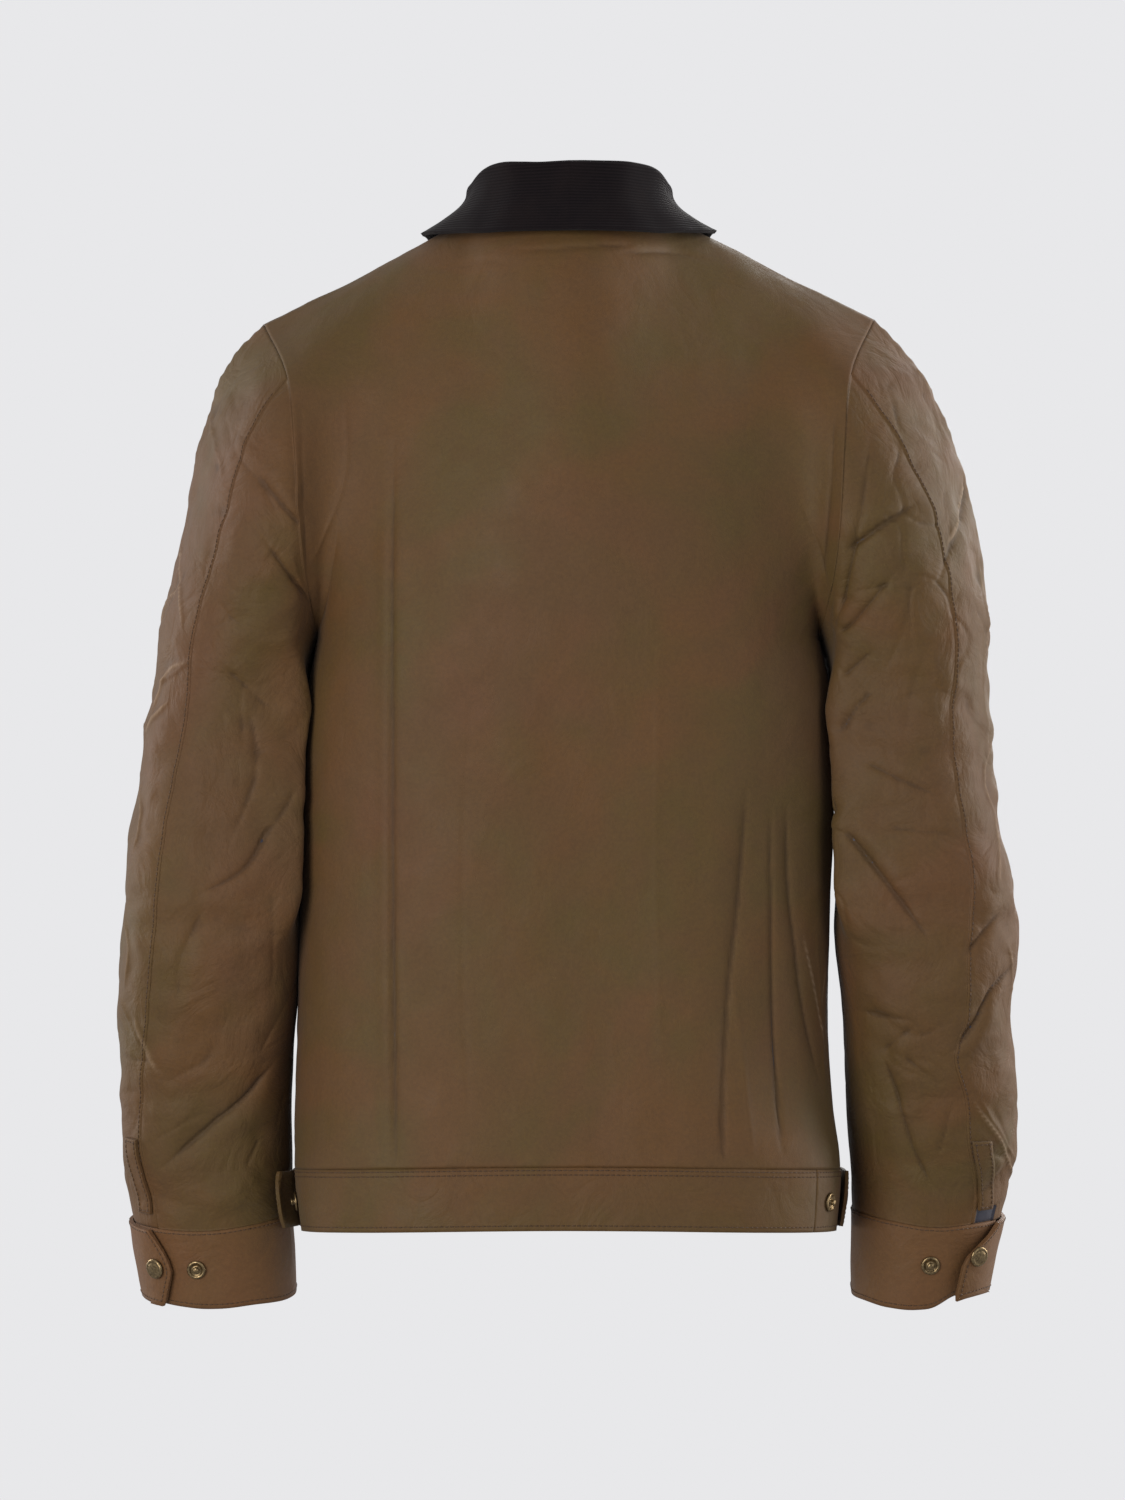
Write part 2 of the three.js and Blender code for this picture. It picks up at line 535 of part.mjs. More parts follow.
const QUARTER_LENGTH = 250; // of the body's section, for turning a gap into a share
const COLUMN_LENGTH = 300; // from the underarm to the shoulder seam
const gapShare = SEAM_GAP / 2 / QUARTER_LENGTH;
const gapTop = SEAM_GAP / 2 / COLUMN_LENGTH;
const NECK_COLUMNS = 6;
const SHOULDER_COLUMNS = 8;
const neckShares = steps(0, NECK_SHARE, NECK_COLUMNS);
const halfShares = [...neckShares, ...steps(NECK_SHARE, 1 - gapShare, SHOULDER_COLUMNS).slice(1)];
const LOWER_ROWS = 10;
const ARMHOLE_ROWS = 12;
const bodyRows = [...steps(gapTop, 1, LOWER_ROWS), ...steps(1, 2, ARMHOLE_ROWS).slice(1, -1), 2 - gapTop];

function buildBack() {
  const columns = [...halfShares.slice(1).map((c) => -c).reverse(), ...halfShares];
  return wall("back", waxedCotton, columns, bodyRows, (c, v) => bodyPoint(true, c, v), CLOTH, true);
}

function buildFront(side) {
  const way = side === "left" ? 1 : -1;
  const shares = [gapShare, ...halfShares.slice(1)];
  const columns = shares.map((c) => way * c);
  const at = (c, v) => bodyPoint(false, c, v);
  return wall("front_" + side, waxedCotton, columns, bodyRows, at, CLOTH, way < 0);
}

// The strip over the centre front: it is sewn to the left front and closes over the right one.
function buildPlacket() {
  const shares = neckShares.filter((c) => c > 0 && c < PLACKET_SHARE);
  const half = [...shares, PLACKET_SHARE];
  const columns = [...half.map((c) => -c).reverse(), 0, ...half];
  const rows = bodyRows.map((v) => Math.min(v, 2 - 4 / COLUMN_LENGTH));
  const at = (c, v) => bodyPoint(false, c, v, LAY + STRIP);
  return wall("front_placket", waxedCotton, columns, rows, at, STRIP);
}

// A point of the band under the body: c runs across it as on the body, and k from its top, 0, to the hem, 1.
function bandPoint(back, c, k, lift = 0) {
  const z = lerp(BAND_TOP_Z, HEM_Z, k);
  const across = (share) => quarterPoint(z, back, c < 0 ? "right" : "left", share);
  const share = clamp(Math.abs(c), 1e-3, 1);
  const along = across(Math.min(share + 1e-3, 1)).sub(across(share - 1e-3));
  const n = new THREE.Vector3(-along.y, along.x, 0).normalize();
  if (!back) n.negate();
  n.lerp(new THREE.Vector3(1, 0, 0), smoothstep(share, 0.97, 0.995)).normalize();
  if (share <= 2e-3) n.set(0, back ? 1 : -1, 0);
  const p = across(Math.abs(c));
  p.z += hemRise(back, Math.abs(c));
  if (c < 0) {
    p.x = -p.x;
    n.x = -n.x;
  }
  return { p: p.addScaledVector(n, lift), n };
}

// A place round the whole band: u is 0 at the centre back, 1 at the left side seam and 2 at the centre front,
// and negative on the right.
function roundBand(u, k, lift) {
  const far = Math.abs(u) > 1;
  return bandPoint(!far, far ? Math.sign(u) * (2 - Math.abs(u)) : u, k, lift);
}

const BAND_BACK_LEFT = 0.86; // ends of the back piece, round the band
const BAND_BACK_RIGHT = -0.69;
const BAND_LAP = 0.13; // how far the left band laps over the right one at the front
const BAND_ROWS = 4;
const BAND_LIFT = 0.4; // the band stands out a little from the cloth gathered into it
const bandRows = steps(1, SEAM_GAP / (BAND_TOP_Z - HEM_Z), BAND_ROWS);

function buildBand(name, from, to, count, lift) {
  const at = (u, k) => roundBand(u, k, lift(u));
  return wall(name, waxedCotton, steps(from, to, count), bandRows, at, BAND, true);
}

// The left band runs on past the centre front, where u is over 2.
function buildLappedBand(name, from, to, count, lift) {
  const at = (u, k) => (u > 2 ? bandPoint(false, 2 - u, k, lift(u)) : roundBand(u, k, lift(u)));
  return wall(name, waxedCotton, steps(from, to, count), bandRows, at, BAND, true);
}

function buildBands() {
  const overlap = (u) => BAND_LIFT + (BAND + LAY) * smoothstep(u, 2 - BAND_LAP * 1.9, 2 - BAND_LAP * 1.15);
  const plain = () => BAND_LIFT;
  const leftEnd = 2 + BAND_LAP;
  return [
    buildBand("waistband_back", BAND_BACK_RIGHT + gapShare, BAND_BACK_LEFT - gapShare, 18, plain),
    buildLappedBand("waistband_left", BAND_BACK_LEFT + gapShare, leftEnd, 20, overlap),
    buildBand("waistband_right", -2 + BAND_LAP, BAND_BACK_RIGHT - gapShare, 16, plain),
  ];
}

// The smooth form of a sleeve on the left side, for one arm's sizes. a is the angle, v is 0 at the armhole,
// 1 at CAP_END_Z and 2 at the cuff.
function armRing(side, a, z) {
  const inner = along(SLEEVE_RINGS, "z", "in_" + side, z);
  const outer = along(SLEEVE_RINGS, "z", "out_" + side, z);
  const deep = along(SLEEVE_RINGS, "z", "deep", z);
  const power = 2 / SLEEVE_SQUARE;
  const [cos, sin] = [Math.cos(degrees(a)), Math.sin(degrees(a))];
  const x = (inner + outer) / 2 - ((outer - inner) / 2) * Math.sign(cos) * Math.abs(cos) ** power;
  const back = deep * Math.sign(sin) * Math.abs(sin) ** power;
  const drop = along(SLEEVE_RINGS, "z", "drop", z) * back;
  const { bottom_z, top_z } = NESTLE;
  const nestled = smoothstep(z, bottom_z, bottom_z + 60) * (1 - smoothstep(z, top_z - 50, top_z));
  const off = (a - NESTLE.angle) / NESTLE.spread;
  const nestle = NESTLE.depth * nestled * Math.exp(-off * off);
  const turned = ((a % 360) + 360) % 360;
  const atSeam = along(CUFF_HANG, "a", side + "_seam", turned);
  const atEdge = along(CUFF_HANG, "a", side + "_edge", turned);
  const down = clamp((CUFF_TOP_Z - z) / CUFF_HEIGHT, 0, 1);
  const lift = smoothstep(-z, -CUFF_HANG_FROM, -CUFF_TOP_Z) * lerp(atSeam, atEdge, down);
  return new THREE.Vector3(x - nestle, along(SLEEVE_RINGS, "z", "y", z) + back, z - drop + lift);
}

function sleeveForm(side, a, v) {
  if (v >= 1) return armRing(side, a, lerp(CAP_END_Z, CUFF_TOP_Z, v - 1));
  const turned = ((a % 360) + 360) % 360;
  const back = turned <= 180;
  const half = back ? turned : 360 - turned;
  const start = armhole(back, half / 180);
  const end = armRing(side, turned, CAP_END_Z);
  const leaving = pointAlong(SLEEVE_LEAVING, "a", half);
  if (!back) leaving.y = -leaving.y;
  const arriving = end.clone().sub(armRing(side, turned, CAP_END_Z - 1));
  arriving.multiplyScalar(end.z - start.z);
  return mixPoints(v, start, end, leaving, arriving);
}

// A point of a sleeve with its folds, moved out by lift.
function sleevePoint(arm, a, v, lift = 0) {
  const smooth = (aa, vv) => sleeveForm(arm.side, aa, vv);
  const n = normalOf(smooth, a, clamp(v, 2e-3, 2 - 2e-3), 0.5, 1e-3);
  const p = sleeveForm(arm.side, a, v);
  const turned = ((a % 360) + 360) % 360;
  if (v < 1) {
    const back = turned <= 180;
    const t = (back ? turned : 360 - turned) / 180;
    n.lerp(armholeNormal(back, t), (1 - smoothstep(v, 0.02, 0.12)) * sharedNormal(t)).normalize();
  }
  const inside = smoothstep(Math.cos(degrees(a)), 0.55, 0.8);
  const calm = smoothstep(v, 0.12, 0.3) * (1 - smoothstep(v, 1.85, 1.97)) * (1 - inside);
  const height = foldHeight(arm.folds, turned, p.z, "a") * calm;
  p.addScaledVector(n, height + lift);
  p.x *= arm.mirror;
  n.x *= arm.mirror;
  return { p, n };
}

const CAP_ROWS = [0, 0.12, 0.28, 0.45, 0.62, 0.8, 1];
const TUBE_ROWS = 15;
const ARM_RADIUS = 58;
const gapAngle = THREE.MathUtils.radToDeg(SEAM_GAP / 2 / ARM_RADIUS);
const FRONT_SEAM_TURNED = FRONT_SEAM_ANGLE + 360;
const ARMHOLE_GAP = 0.5;
const columnStep = 180 / ARMHOLE_ROWS; // the sleeve's columns meet the rows of the body's armhole

// One piece of a sleeve. from and to give its two edges for an angle of the back seam.
function sleevePiece(arm, piece, from, to) {
  const tubeEnd = 2 - SEAM_GAP / 2 / (CAP_END_Z - CUFF_TOP_Z);
  const rows = [...CAP_ROWS, ...steps(1, tubeEnd, TUBE_ROWS).slice(1)];
  const seamAtTop = along(ELBOW_SEAM, "v", arm.side, 0);
  const [first, last] = [from(seamAtTop), to(seamAtTop)];
  const count = Math.round((last - first) / columnStep);
  const at = (s, v) => {
    const seam = along(ELBOW_SEAM, "v", arm.side, v);
    const a = lerp(from(seam), to(seam), s);
    if (v > 0) return sleevePoint(arm, a, v);
    const leaving = pointAlong(SLEEVE_LEAVING, "a", Math.abs(a > 180 ? a - 360 : a));
    return sleevePoint(arm, a, ARMHOLE_GAP / leaving.length());
  };
  const name = `sleeve_${arm.side}_${piece}`;
  return wall(name, waxedCotton, steps(0, 1, count), rows, at, CLOTH, arm.mirror < 0);
}

function buildSleeve(arm) {
  return [
    sleevePiece(arm, "top", (seam) => seam + gapAngle, () => FRONT_SEAM_TURNED - gapAngle),
    sleevePiece(arm, "under", () => FRONT_SEAM_ANGLE + gapAngle, (seam) => seam - gapAngle),
  ];
}

// The strip of the vent over the cuff: it lies on the sleeve's top piece along the back seam.
const VENT = { top_v: 1.82, bottom_v: 1.97, from_seam: 2.5, width: 14, lay: 0.9 };
function buildVent(arm) {
  const at = (s, v) => {
    const seam = along(ELBOW_SEAM, "v", arm.side, v);
    return sleevePoint(arm, seam + VENT.from_seam + VENT.width * s, v, VENT.lay + STRIP);
  };
  const rows = steps(VENT.top_v, VENT.bottom_v, 4);
  return wall("vent_" + arm.side, waxedCotton, steps(0, 1, 3), rows, at, STRIP, arm.mirror < 0);
}

const CUFF_LIFT = 0.5;
const CUFF_LAP_FROM = -168; // the lapping end starts to rise over the under end here
const CUFF_LAP_RAISED = -186;
function cuffLift(arm, a) {
  const lapped = smoothstep(-a, -CUFF_LAP_FROM, -CUFF_LAP_RAISED);
  const flare = arm.flare * smoothstep(-a, -CUFF_LAP_RAISED, 360 - arm.cap) ** 2;
  return CUFF_LIFT + (BAND + LAY) * lapped + flare;
}

// A point of a cuff: a runs down from the under end past the body and the front to the lapping end.
function cuffPoint(arm, a, k) {
  const shell = (aa, kk) => {
    const z = CUFF_TOP_Z - CUFF_HEIGHT * kk;
    const out = normalOf((x, y) => armRing(arm.side, x, y), aa, z, 0.5, 0.5).negate();
    return armRing(arm.side, aa, z).addScaledVector(out, cuffLift(arm, aa));
  };
  const n = normalOf(shell, a, k, 0.5, 0.01);
  const p = shell(a, k);
  p.x *= arm.mirror;
  n.x *= arm.mirror;
  return { p, n };
}

// Where the lapping end stops, for a height on the cuff.
function cuffEnd(arm, k) {
  const middle = 0.55;
  if (k < middle) return lerp(arm.end_top, arm.end_middle, Math.sin((Math.PI / 2) * (k / middle)));
  return lerp(arm.end_middle, arm.end_bottom, (k - middle) / (1 - middle));
}

const CUFF_TOP_GAP = 0.6 / CUFF_HEIGHT;
const cuffRows = steps(1, CUFF_TOP_GAP, 6);
function buildCuff(arm) {
  const count = 34;
  const at = (s, k) => {
    const a = lerp(arm.cuff_start, cuffEnd(arm, k) - 360, s);
    return cuffPoint(arm, a, k);
  };
  return wall("cuff_" + arm.side, waxedCotton, steps(0, 1, count), cuffRows, at, BAND, arm.mirror < 0);
}

// A press stud's parts, turned round +Z and then stood on a surface.
const LATHE_SEGMENTS = 12;
const SNAP_GAP = 0.4;
const BENT_SNAP_GAP = 0.8; // where the cloth under it bends
function turnedPart(name, profile, material, at, gap = SNAP_GAP) {
  const points = profile.map(([radius, height]) => new THREE.Vector2(radius, height));
  const geometry = new THREE.LatheGeometry(points, LATHE_SEGMENTS);
  geometry.rotateX(Math.PI / 2);
  const mesh = new THREE.Mesh(geometry, material);
  mesh.name = name;
  mesh.quaternion.setFromUnitVectors(new THREE.Vector3(0, 0, 1), at.n);
  mesh.position.copy(hang(at.p)).addScaledVector(at.n, gap);
  return mesh;
}

function capProfile(radius) {
  return [
    [0, 0],
    [radius * 0.9, 0],
    [radius, 0.5],
    [radius * 0.97, 1],
    [radius * 0.7, 1.9],
    [radius * 0.35, 2.35],
    [0, 2.5],
  ];
}

const studProfile = [
  [0, 0],
  [STUD_RADIUS, 0],
  [STUD_RADIUS, 1],
  [STUD_RADIUS * 0.8, 1.5],
  [STUD_RADIUS * 0.62, 0.9],
  [2.3, 0.9],
  [1.9, 2.4],
  [2.5, 3.3],
  [1.8, 4],
  [0, 4.1],
];

// The adjuster tab at each side of the band: its front end is sewn down and its back end stands off.
const TABS = [
  { side: "left", mirror: 1, from: 1.2, to: 0.92, stand_off: 11, stud: 0.895 },
  { side: "right", mirror: -1, from: 1.22, to: 0.95, stand_off: 1.5, stud: 0.76 },
];
const TAB_LIFTS_AT = 1.05; // place round the band where the tabs leave it
const TAB_LAY = BAND_LIFT + LAY + STRIP;
const TAB_TOP = 0.03; // places down the band
const TAB_BOTTOM = 0.93;
function tabPoint(tab, u, k) {
  const shell = (uu, kk) => {
    const off = tab.stand_off * smoothstep(-uu, -TAB_LIFTS_AT, -tab.to) ** 1.3;
    return roundBand(uu, kk, TAB_LAY + off).p;
  };
  const n = normalOf(shell, u, k, 0.01, 0.01);
  const p = shell(u, k);
  if (n.dot(roundBand(u, k, 0).n) < 0) n.negate();
  p.x *= tab.mirror;
  n.x *= tab.mirror;
  return { p, n };
}

function buildTab(tab) {
  const at = (s, k) => {
    const height = lerp(TAB_TOP, TAB_BOTTOM, k);
    const point = 1 - 0.1 * Math.abs(2 * k - 1) ** 2;
    return tabPoint(tab, lerp(tab.from, tab.to, s * point), height);
  };
  const name = "waist_tab_" + tab.side;
  return wall(name, waxedCotton, steps(0, 1, 10), steps(1, 0, 4), at, STRIP, tab.mirror < 0);
}

// The collar's surface: w runs from the centre back to the centre front, and s from the leaf's edge, 0,
// to the fold, 1, over it to 2, and down the stand to the neckline, 3.
const STAND_TO_NECK = 0.9; // the stand is sewn inside the panels' edge
const STAND_GAP = 1.5;
function neckline(w) {
  return topEdge(w <= 1, NECK_SHARE * (w <= 1 ? w : 2 - w));
}

function leafEdge(w) {
  if (w <= 1) return pointAlong(COLLAR_EDGE, "w", w);
  const place = (column) => along(COLLAR_EDGE_ON_FRONT, "w", column, w);
  const onFront = bodyPoint(false, place("c"), 1 + place("t"), COLLAR_CLEAR).p;
  return onFront.lerp(pointAlong(COLLAR_EDGE, "w", 1), 1 - smoothstep(w, 1, 1.12));
}

function collarForm(w, s) {
  const fold = pointAlong(COLLAR_FOLD, "w", w);
  const near = 0.02;
  const ahead = pointAlong(COLLAR_FOLD, "w", Math.min(w + near, 2));
  const behind = pointAlong(COLLAR_FOLD, "w", Math.max(w - near, 0));
  if (w < near) behind.x = -ahead.x;
  const way = ahead.sub(behind).normalize();
  const out = new THREE.Vector3(-way.y, way.x, 0).normalize();
  if (w < near) out.set(0, 1, 0);
  const up = out.clone().cross(way).normalize();
  if (up.z < 0) up.negate();
  if (s >= 1 && s <= 2) {
    const turn = Math.PI * (s - 1);
    fold.addScaledVector(out, COLLAR_ROLL * Math.cos(turn));
    return fold.addScaledVector(up, COLLAR_ROLL * Math.sin(turn));
  }
  if (s < 1) {
    const top = fold.addScaledVector(out, COLLAR_ROLL);
    const edge = leafEdge(w);
    const fall = up.clone().multiplyScalar(top.distanceTo(edge));
    return mixPoints(s, edge, top, top.clone().sub(edge), fall);
  }
  const inwards = out.clone().negate();
  const top = fold.addScaledVector(inwards, COLLAR_ROLL);
  const bottom = neckline(w);
  bottom.addScaledVector(top.clone().sub(bottom).normalize(), STAND_GAP);
  bottom.addScaledVector(inwards, STAND_TO_NECK);
  const fall = up.clone().multiplyScalar(-top.distanceTo(bottom));
  return mixPoints(s - 2, top, bottom, fall, bottom.clone().sub(top));
}

const COLLAR_COLUMNS = 2 * NECK_COLUMNS;
const COLLAR_ROWS = [0, 0.2, 0.4, 0.6, 0.8, 1, 1.25, 1.5, 1.75, 2, 2.33, 2.67, 3];
function collarPoint(w, s) {
  const reach = Math.abs(w);
  const n = normalOf(collarForm, clamp(reach, 0.01, 1.99), clamp(s, 0.01, 2.99), 0.01, 0.01).negate();
  const p = collarForm(reach, s);
  if (reach < 0.01) n.x = 0;
  n.normalize();
  if (w < 0) {
    p.x = -p.x;
    n.x = -n.x;
  }
  return { p, n };
}

function buildCollar() {
  const half = steps(0, 2, COLLAR_COLUMNS);
  const columns = [...half.slice(1).map((w) => -w).reverse(), ...half];
  return wall("collar", corduroy, columns, COLLAR_ROWS, collarPoint, BAND, true);
}

jacket.add(buildBack(), buildFront("left"), buildFront("right"), buildPlacket());
jacket.add(...buildBands(), buildCollar());
for (const arm of SLEEVES) {
  jacket.add(...buildSleeve(arm), buildVent(arm), buildCuff(arm));
  const capAt = cuffPoint(arm, arm.cap - 360, arm.cap_k);
  const studAt = cuffPoint(arm, arm.stud, arm.stud_k);
  jacket.add(turnedPart("cuff_cap_" + arm.side, capProfile(CAP_RADIUS), brass, capAt));
  jacket.add(turnedPart("cuff_stud_" + arm.side, studProfile, brass, studAt));
}
for (const tab of TABS) {
  jacket.add(buildTab(tab));
  const capAt = tabPoint(tab, tab.to + 0.075, 0.48);
  const studAt = roundBand(tab.mirror * tab.stud, 0.52, BAND_LIFT);
  jacket.add(turnedPart("waist_cap_" + tab.side, capProfile(CAP_RADIUS), brass, capAt, BENT_SNAP_GAP));
  jacket.add(turnedPart("waist_stud_" + tab.side, studProfile, brass, studAt, BENT_SNAP_GAP));
}
const PLACKET_CAPS = [1.66, 1.3, 0.94, 0.58, 0.2];
PLACKET_CAPS.forEach((v, i) => {
  const at = bodyPoint(false, 0, v, LAY + STRIP);
  jacket.add(turnedPart("front_cap_" + (i + 1), capProfile(CAP_RADIUS), brass, at));
});
const bandCapAt = bandPoint(false, 0, 0.5, BAND_LIFT + BAND + LAY);
jacket.add(turnedPart("front_cap_" + (PLACKET_CAPS.length + 1), capProfile(CAP_RADIUS), brass, bandCapAt));

export default jacket;
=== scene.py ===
import math

import bpy
import numpy as np
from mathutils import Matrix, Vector


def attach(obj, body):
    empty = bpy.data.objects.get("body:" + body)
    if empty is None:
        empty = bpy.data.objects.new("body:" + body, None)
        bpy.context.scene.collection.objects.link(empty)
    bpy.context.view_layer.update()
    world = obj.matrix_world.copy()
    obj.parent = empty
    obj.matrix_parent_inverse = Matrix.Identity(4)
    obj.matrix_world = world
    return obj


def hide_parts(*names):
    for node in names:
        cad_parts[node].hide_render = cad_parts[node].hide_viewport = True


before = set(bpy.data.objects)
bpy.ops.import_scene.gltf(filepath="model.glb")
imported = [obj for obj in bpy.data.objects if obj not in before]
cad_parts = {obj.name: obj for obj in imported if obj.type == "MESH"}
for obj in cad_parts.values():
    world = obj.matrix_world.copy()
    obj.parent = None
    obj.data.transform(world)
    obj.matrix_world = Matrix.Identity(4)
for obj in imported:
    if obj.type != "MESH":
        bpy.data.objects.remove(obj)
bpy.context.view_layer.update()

# Metres in Blender. The tables below are in millimetres, in the part's own frame:
# +X to the wearer's left, the front faces -Y, +Z up, and the origin is in the middle of the neck.
MM = 0.001

# The photo's camera: level, behind the back, with its frame's middle at FRAME_CENTRE.
CAMERA_BACK = 3140.0
CAMERA_Z = -400.0
FRAME_HEIGHT = 1027.5
FRAME_CENTRE = (4.45, -349.35)
SENSOR = 36.0

camera_data = bpy.data.cameras.new("camera")
camera = bpy.data.objects.new("camera", camera_data)
bpy.context.collection.objects.link(camera)
camera.location = (FRAME_CENTRE[0] * MM, CAMERA_BACK * MM, CAMERA_Z * MM)
camera.rotation_euler = (math.radians(90), 0, math.radians(180))
camera_data.sensor_width = SENSOR
camera_data.lens = SENSOR * CAMERA_BACK / FRAME_HEIGHT
camera_data.shift_y = (FRAME_CENTRE[1] - CAMERA_Z) / FRAME_HEIGHT
camera_data.dof.use_dof = False
bpy.context.scene.camera = camera


# The garment's form as in the solids, in even shape before it hangs. Only BODY differs: beside the arms it is
# up to 3.2 mm wider than the solids, so that no light shows between body and sleeves.
CLOTH = 1.8
BAND = 2.6
STRIP = 2.2
LAY = 0.5
UNDERARM_Z = -275.0
BAND_TOP_Z = -636.0
HEM_Z = -678.0
BACK_HEM_RISE = 9.0
NECK_POINT = (72.0, -4.0, 14.0)
NECK_BACK = (58.0, 14.0)
NECK_FRONT = (-70.0, -55.0)
NECK_SHARE = 0.36
CAP_END_Z = -320.0
CUFF_TOP_Z = -673.0
CUFF_HEIGHT = 53.0
FRONT_SEAM_ANGLE = -45.0
PLACKET_SHARE = 0.09
BODY_LENGTH = UNDERARM_Z - BAND_TOP_Z
TUBE_LENGTH = CAP_END_Z - CUFF_TOP_Z
BAND_LENGTH = BAND_TOP_Z - HEM_Z
CAP_LENGTH = 150
# The share of a panel from which its columns lean to the armhole.
PULL_FROM = 0.4
# How long a Hermite curve's ends are for it to follow a quarter of a circle.
QUARTER_CIRCLE = 1.657


def table(columns, *rows):
    """Columns by name, each as an array down the rows."""
    return dict(zip(columns.split(), np.array(rows, float).T))


BODY = table(
    "z left right back front square",
    (-275, 171.5, 172.2, 112, 128, 2.4),
    (-310, 178.5, 179.2, 110, 130, 2.45),
    (-350, 182.5, 180, 107, 129, 2.5),
    (-400, 184, 180.5, 104, 126, 2.55),
    (-450, 184, 179, 102, 123, 2.6),
    (-500, 184.5, 177.5, 102, 121, 2.7),
    (-550, 185.5, 177.5, 104, 120, 2.8),
    (-600, 187.5, 181, 108, 120, 2.9),
    (-636, 187, 185, 111, 120, 3),
    (-678, 182.5, 182, 112, 119, 3),
)
SHOULDER = table(
    "x z",
    (72, 14),
    (101, -2),
    (125, -15),
    (149, -28),
    (179, -42),
    (208, -57),
)
ARMHOLE_BACK = table(
    "t x y z nx ny nz",
    (0, 171, 0, -275, 1, 0, 0),
    (0.15, 172, 34, -264, 0.5, 0.85, -0.1),
    (0.32, 177, 66, -236, 0.4, 0.92, -0.05),
    (0.5, 181, 82, -194, 0.3, 0.95, 0),
    (0.68, 184, 80, -146, 0.3, 0.92, 0.25),
    (0.84, 190, 56, -98, 0.35, 0.72, 0.6),
    (1, 208, -4, -57, 0.5, 0, 0.87),
)
ARMHOLE_FRONT = table(
    "t x y z nx ny nz",
    (0, 171, 0, -275, 1, 0, 0),
    (0.15, 170, -36, -266, 0.5, -0.85, -0.1),
    (0.32, 171, -68, -236, 0.4, -0.92, -0.05),
    (0.5, 173, -86, -194, 0.3, -0.95, 0),
    (0.68, 177, -84, -146, 0.3, -0.92, 0.25),
    (0.84, 187, -58, -98, 0.35, -0.72, 0.6),
    (1, 208, -4, -57, 0.5, 0, 0.87),
)
LEAVING = table(
    "a x y z",
    (0, 26, 0, -52),
    (45, 34, 6, -84),
    (90, 90, 26, -128),
    (135, 165, 40, -150),
    (180, 182, 0, -182),
)
RINGS = table(
    "z in_left out_left in_right out_right y deep drop",
    (-320, 179, 288.5, 179, 288.5, -2, 70, 0),
    (-360, 183, 294.5, 182.5, 290.5, 2, 69, 0.01),
    (-400, 184, 298.5, 183.5, 295.5, 5, 67, 0.02),
    (-440, 184, 303.5, 182.5, 304, 7, 66, 0.03),
    (-480, 183.7, 307, 181.5, 306, 6, 64, 0.04),
    (-520, 186, 309, 187, 301, 0, 63, 0.06),
    (-560, 189.5, 309, 189.5, 304, -8, 61, 0.08),
    (-600, 191.5, 309.5, 191.5, 306, -18, 58, 0.1),
    (-640, 191.5, 307, 194.5, 306, -27, 56, 0.1),
    (-673, 191.5, 301, 196, 298, -33, 54, 0.1),
    (-726, 189.5, 292, 196, 287.5, -40, 51, 0.1),
)
SLEEVE_SQUARE = 2.4
# How much higher than an even ring the cuff's seam and its free edge hang, round each arm.
CUFF_HANG = table(
    "a seam_left edge_left seam_right edge_right",
    (0, 6, 2, 8, 2),
    (36, 6, 2, 8.8, 2.4),
    (64, 4.2, 2.2, 7, 0.2),
    (92, 1.2, 0, 3.8, 0),
    (112, 1.2, 1, 4.8, 8),
    (135, 1.6, 2.2, 5, 10),
    (180, 2, 2.2, 4, 5),
    (270, 4, 2, 5, 3),
    (360, 6, 2, 8, 2),
)
CUFF_HANG_FROM = -590
NESTLE = dict(angle=50, spread=20, depth=21, top_z=-275, bottom_z=-500)
ELBOW_SEAM = table(
    "v left right",
    (0, 150, 150),
    (0.25, 140, 142),
    (0.5, 128, 131),
    (0.75, 118, 120),
    (1, 112, 112),
    (1.28, 118, 112),
    (1.47, 119.5, 107.5),
    (1.59, 123, 108),
    (1.66, 127, 99),
    (1.74, 129, 105),
    (1.84, 129, 106.5),
    (1.95, 125, 116),
    (2, 125, 118),
)
SLEEVES = dict(
    left=dict(
        mirror=1, cuff_start=158, end_top=130, end_middle=115, end_bottom=125, flare=2,
        cap=128, cap_k=0.5, stud=98, stud_k=0.49,
    ),
    right=dict(
        mirror=-1, cuff_start=150, end_top=145, end_middle=110.5, end_bottom=109, flare=6,
        cap=122, cap_k=0.4, stud=91, stud_k=0.46,
    ),
)
FOLD_LINE = table(
    "w x y z",
    (0, 0, 64, 42),
    (0.35, 34.5, 54.3, 42.4),
    (0.55, 50, 41, 42.3),
    (0.7, 58.5, 28, 39.8),
    (0.85, 64, 13.4, 35.5),
    (1, 67, -3, 31.5),
    (1.25, 64, -33, 15.5),
    (1.5, 51, -57, -10),
    (1.75, 29, -73, -31),
    (2, 5, -79, -42),
)
LEAF_EDGE = table(
    "w x y z",
    (0, 0, 79, -3),
    (0.35, 40, 72, -2.5),
    (0.55, 62, 58, -2),
    (0.7, 77, 43, 0),
    (0.85, 92, 24, 2),
    (1, 101, 2, 3.5),
)
LEAF_EDGE_ON_FRONT = table(
    "w c t",
    (1, 0.478, 1),
    (1.25, 0.46, 0.9),
    (1.5, 0.4, 0.81),
    (1.75, 0.31, 0.73),
    (2, 0.2, 0.66),
)
UNEVEN = table(
    "z left right",
    (60, 0, 0),
    (-16, 0, 2),
    (-66, 4, 4),
    (-96, 3, 7),
    (-137, -1, 6.5),
    (-187, -5, 5.5),
    (-237, -3.5, 4),
    (-287, -1.5, 1),
    (-337, -3, -2.5),
    (-387, -1, -1),
    (-437, -1.5, 0),
    (-600, -1, 1),
    (-700, 0, 0),
    (-900, 0, 0),
)
UNEVEN_FROM, UNEVEN_TO = 185, 240
RIGHT_SHOULDER_RISE = dict(rise=3.2, from_x=70, to_x=120, from_z=-220, to_z=-60)
COLLAR_ROLL = 3.6
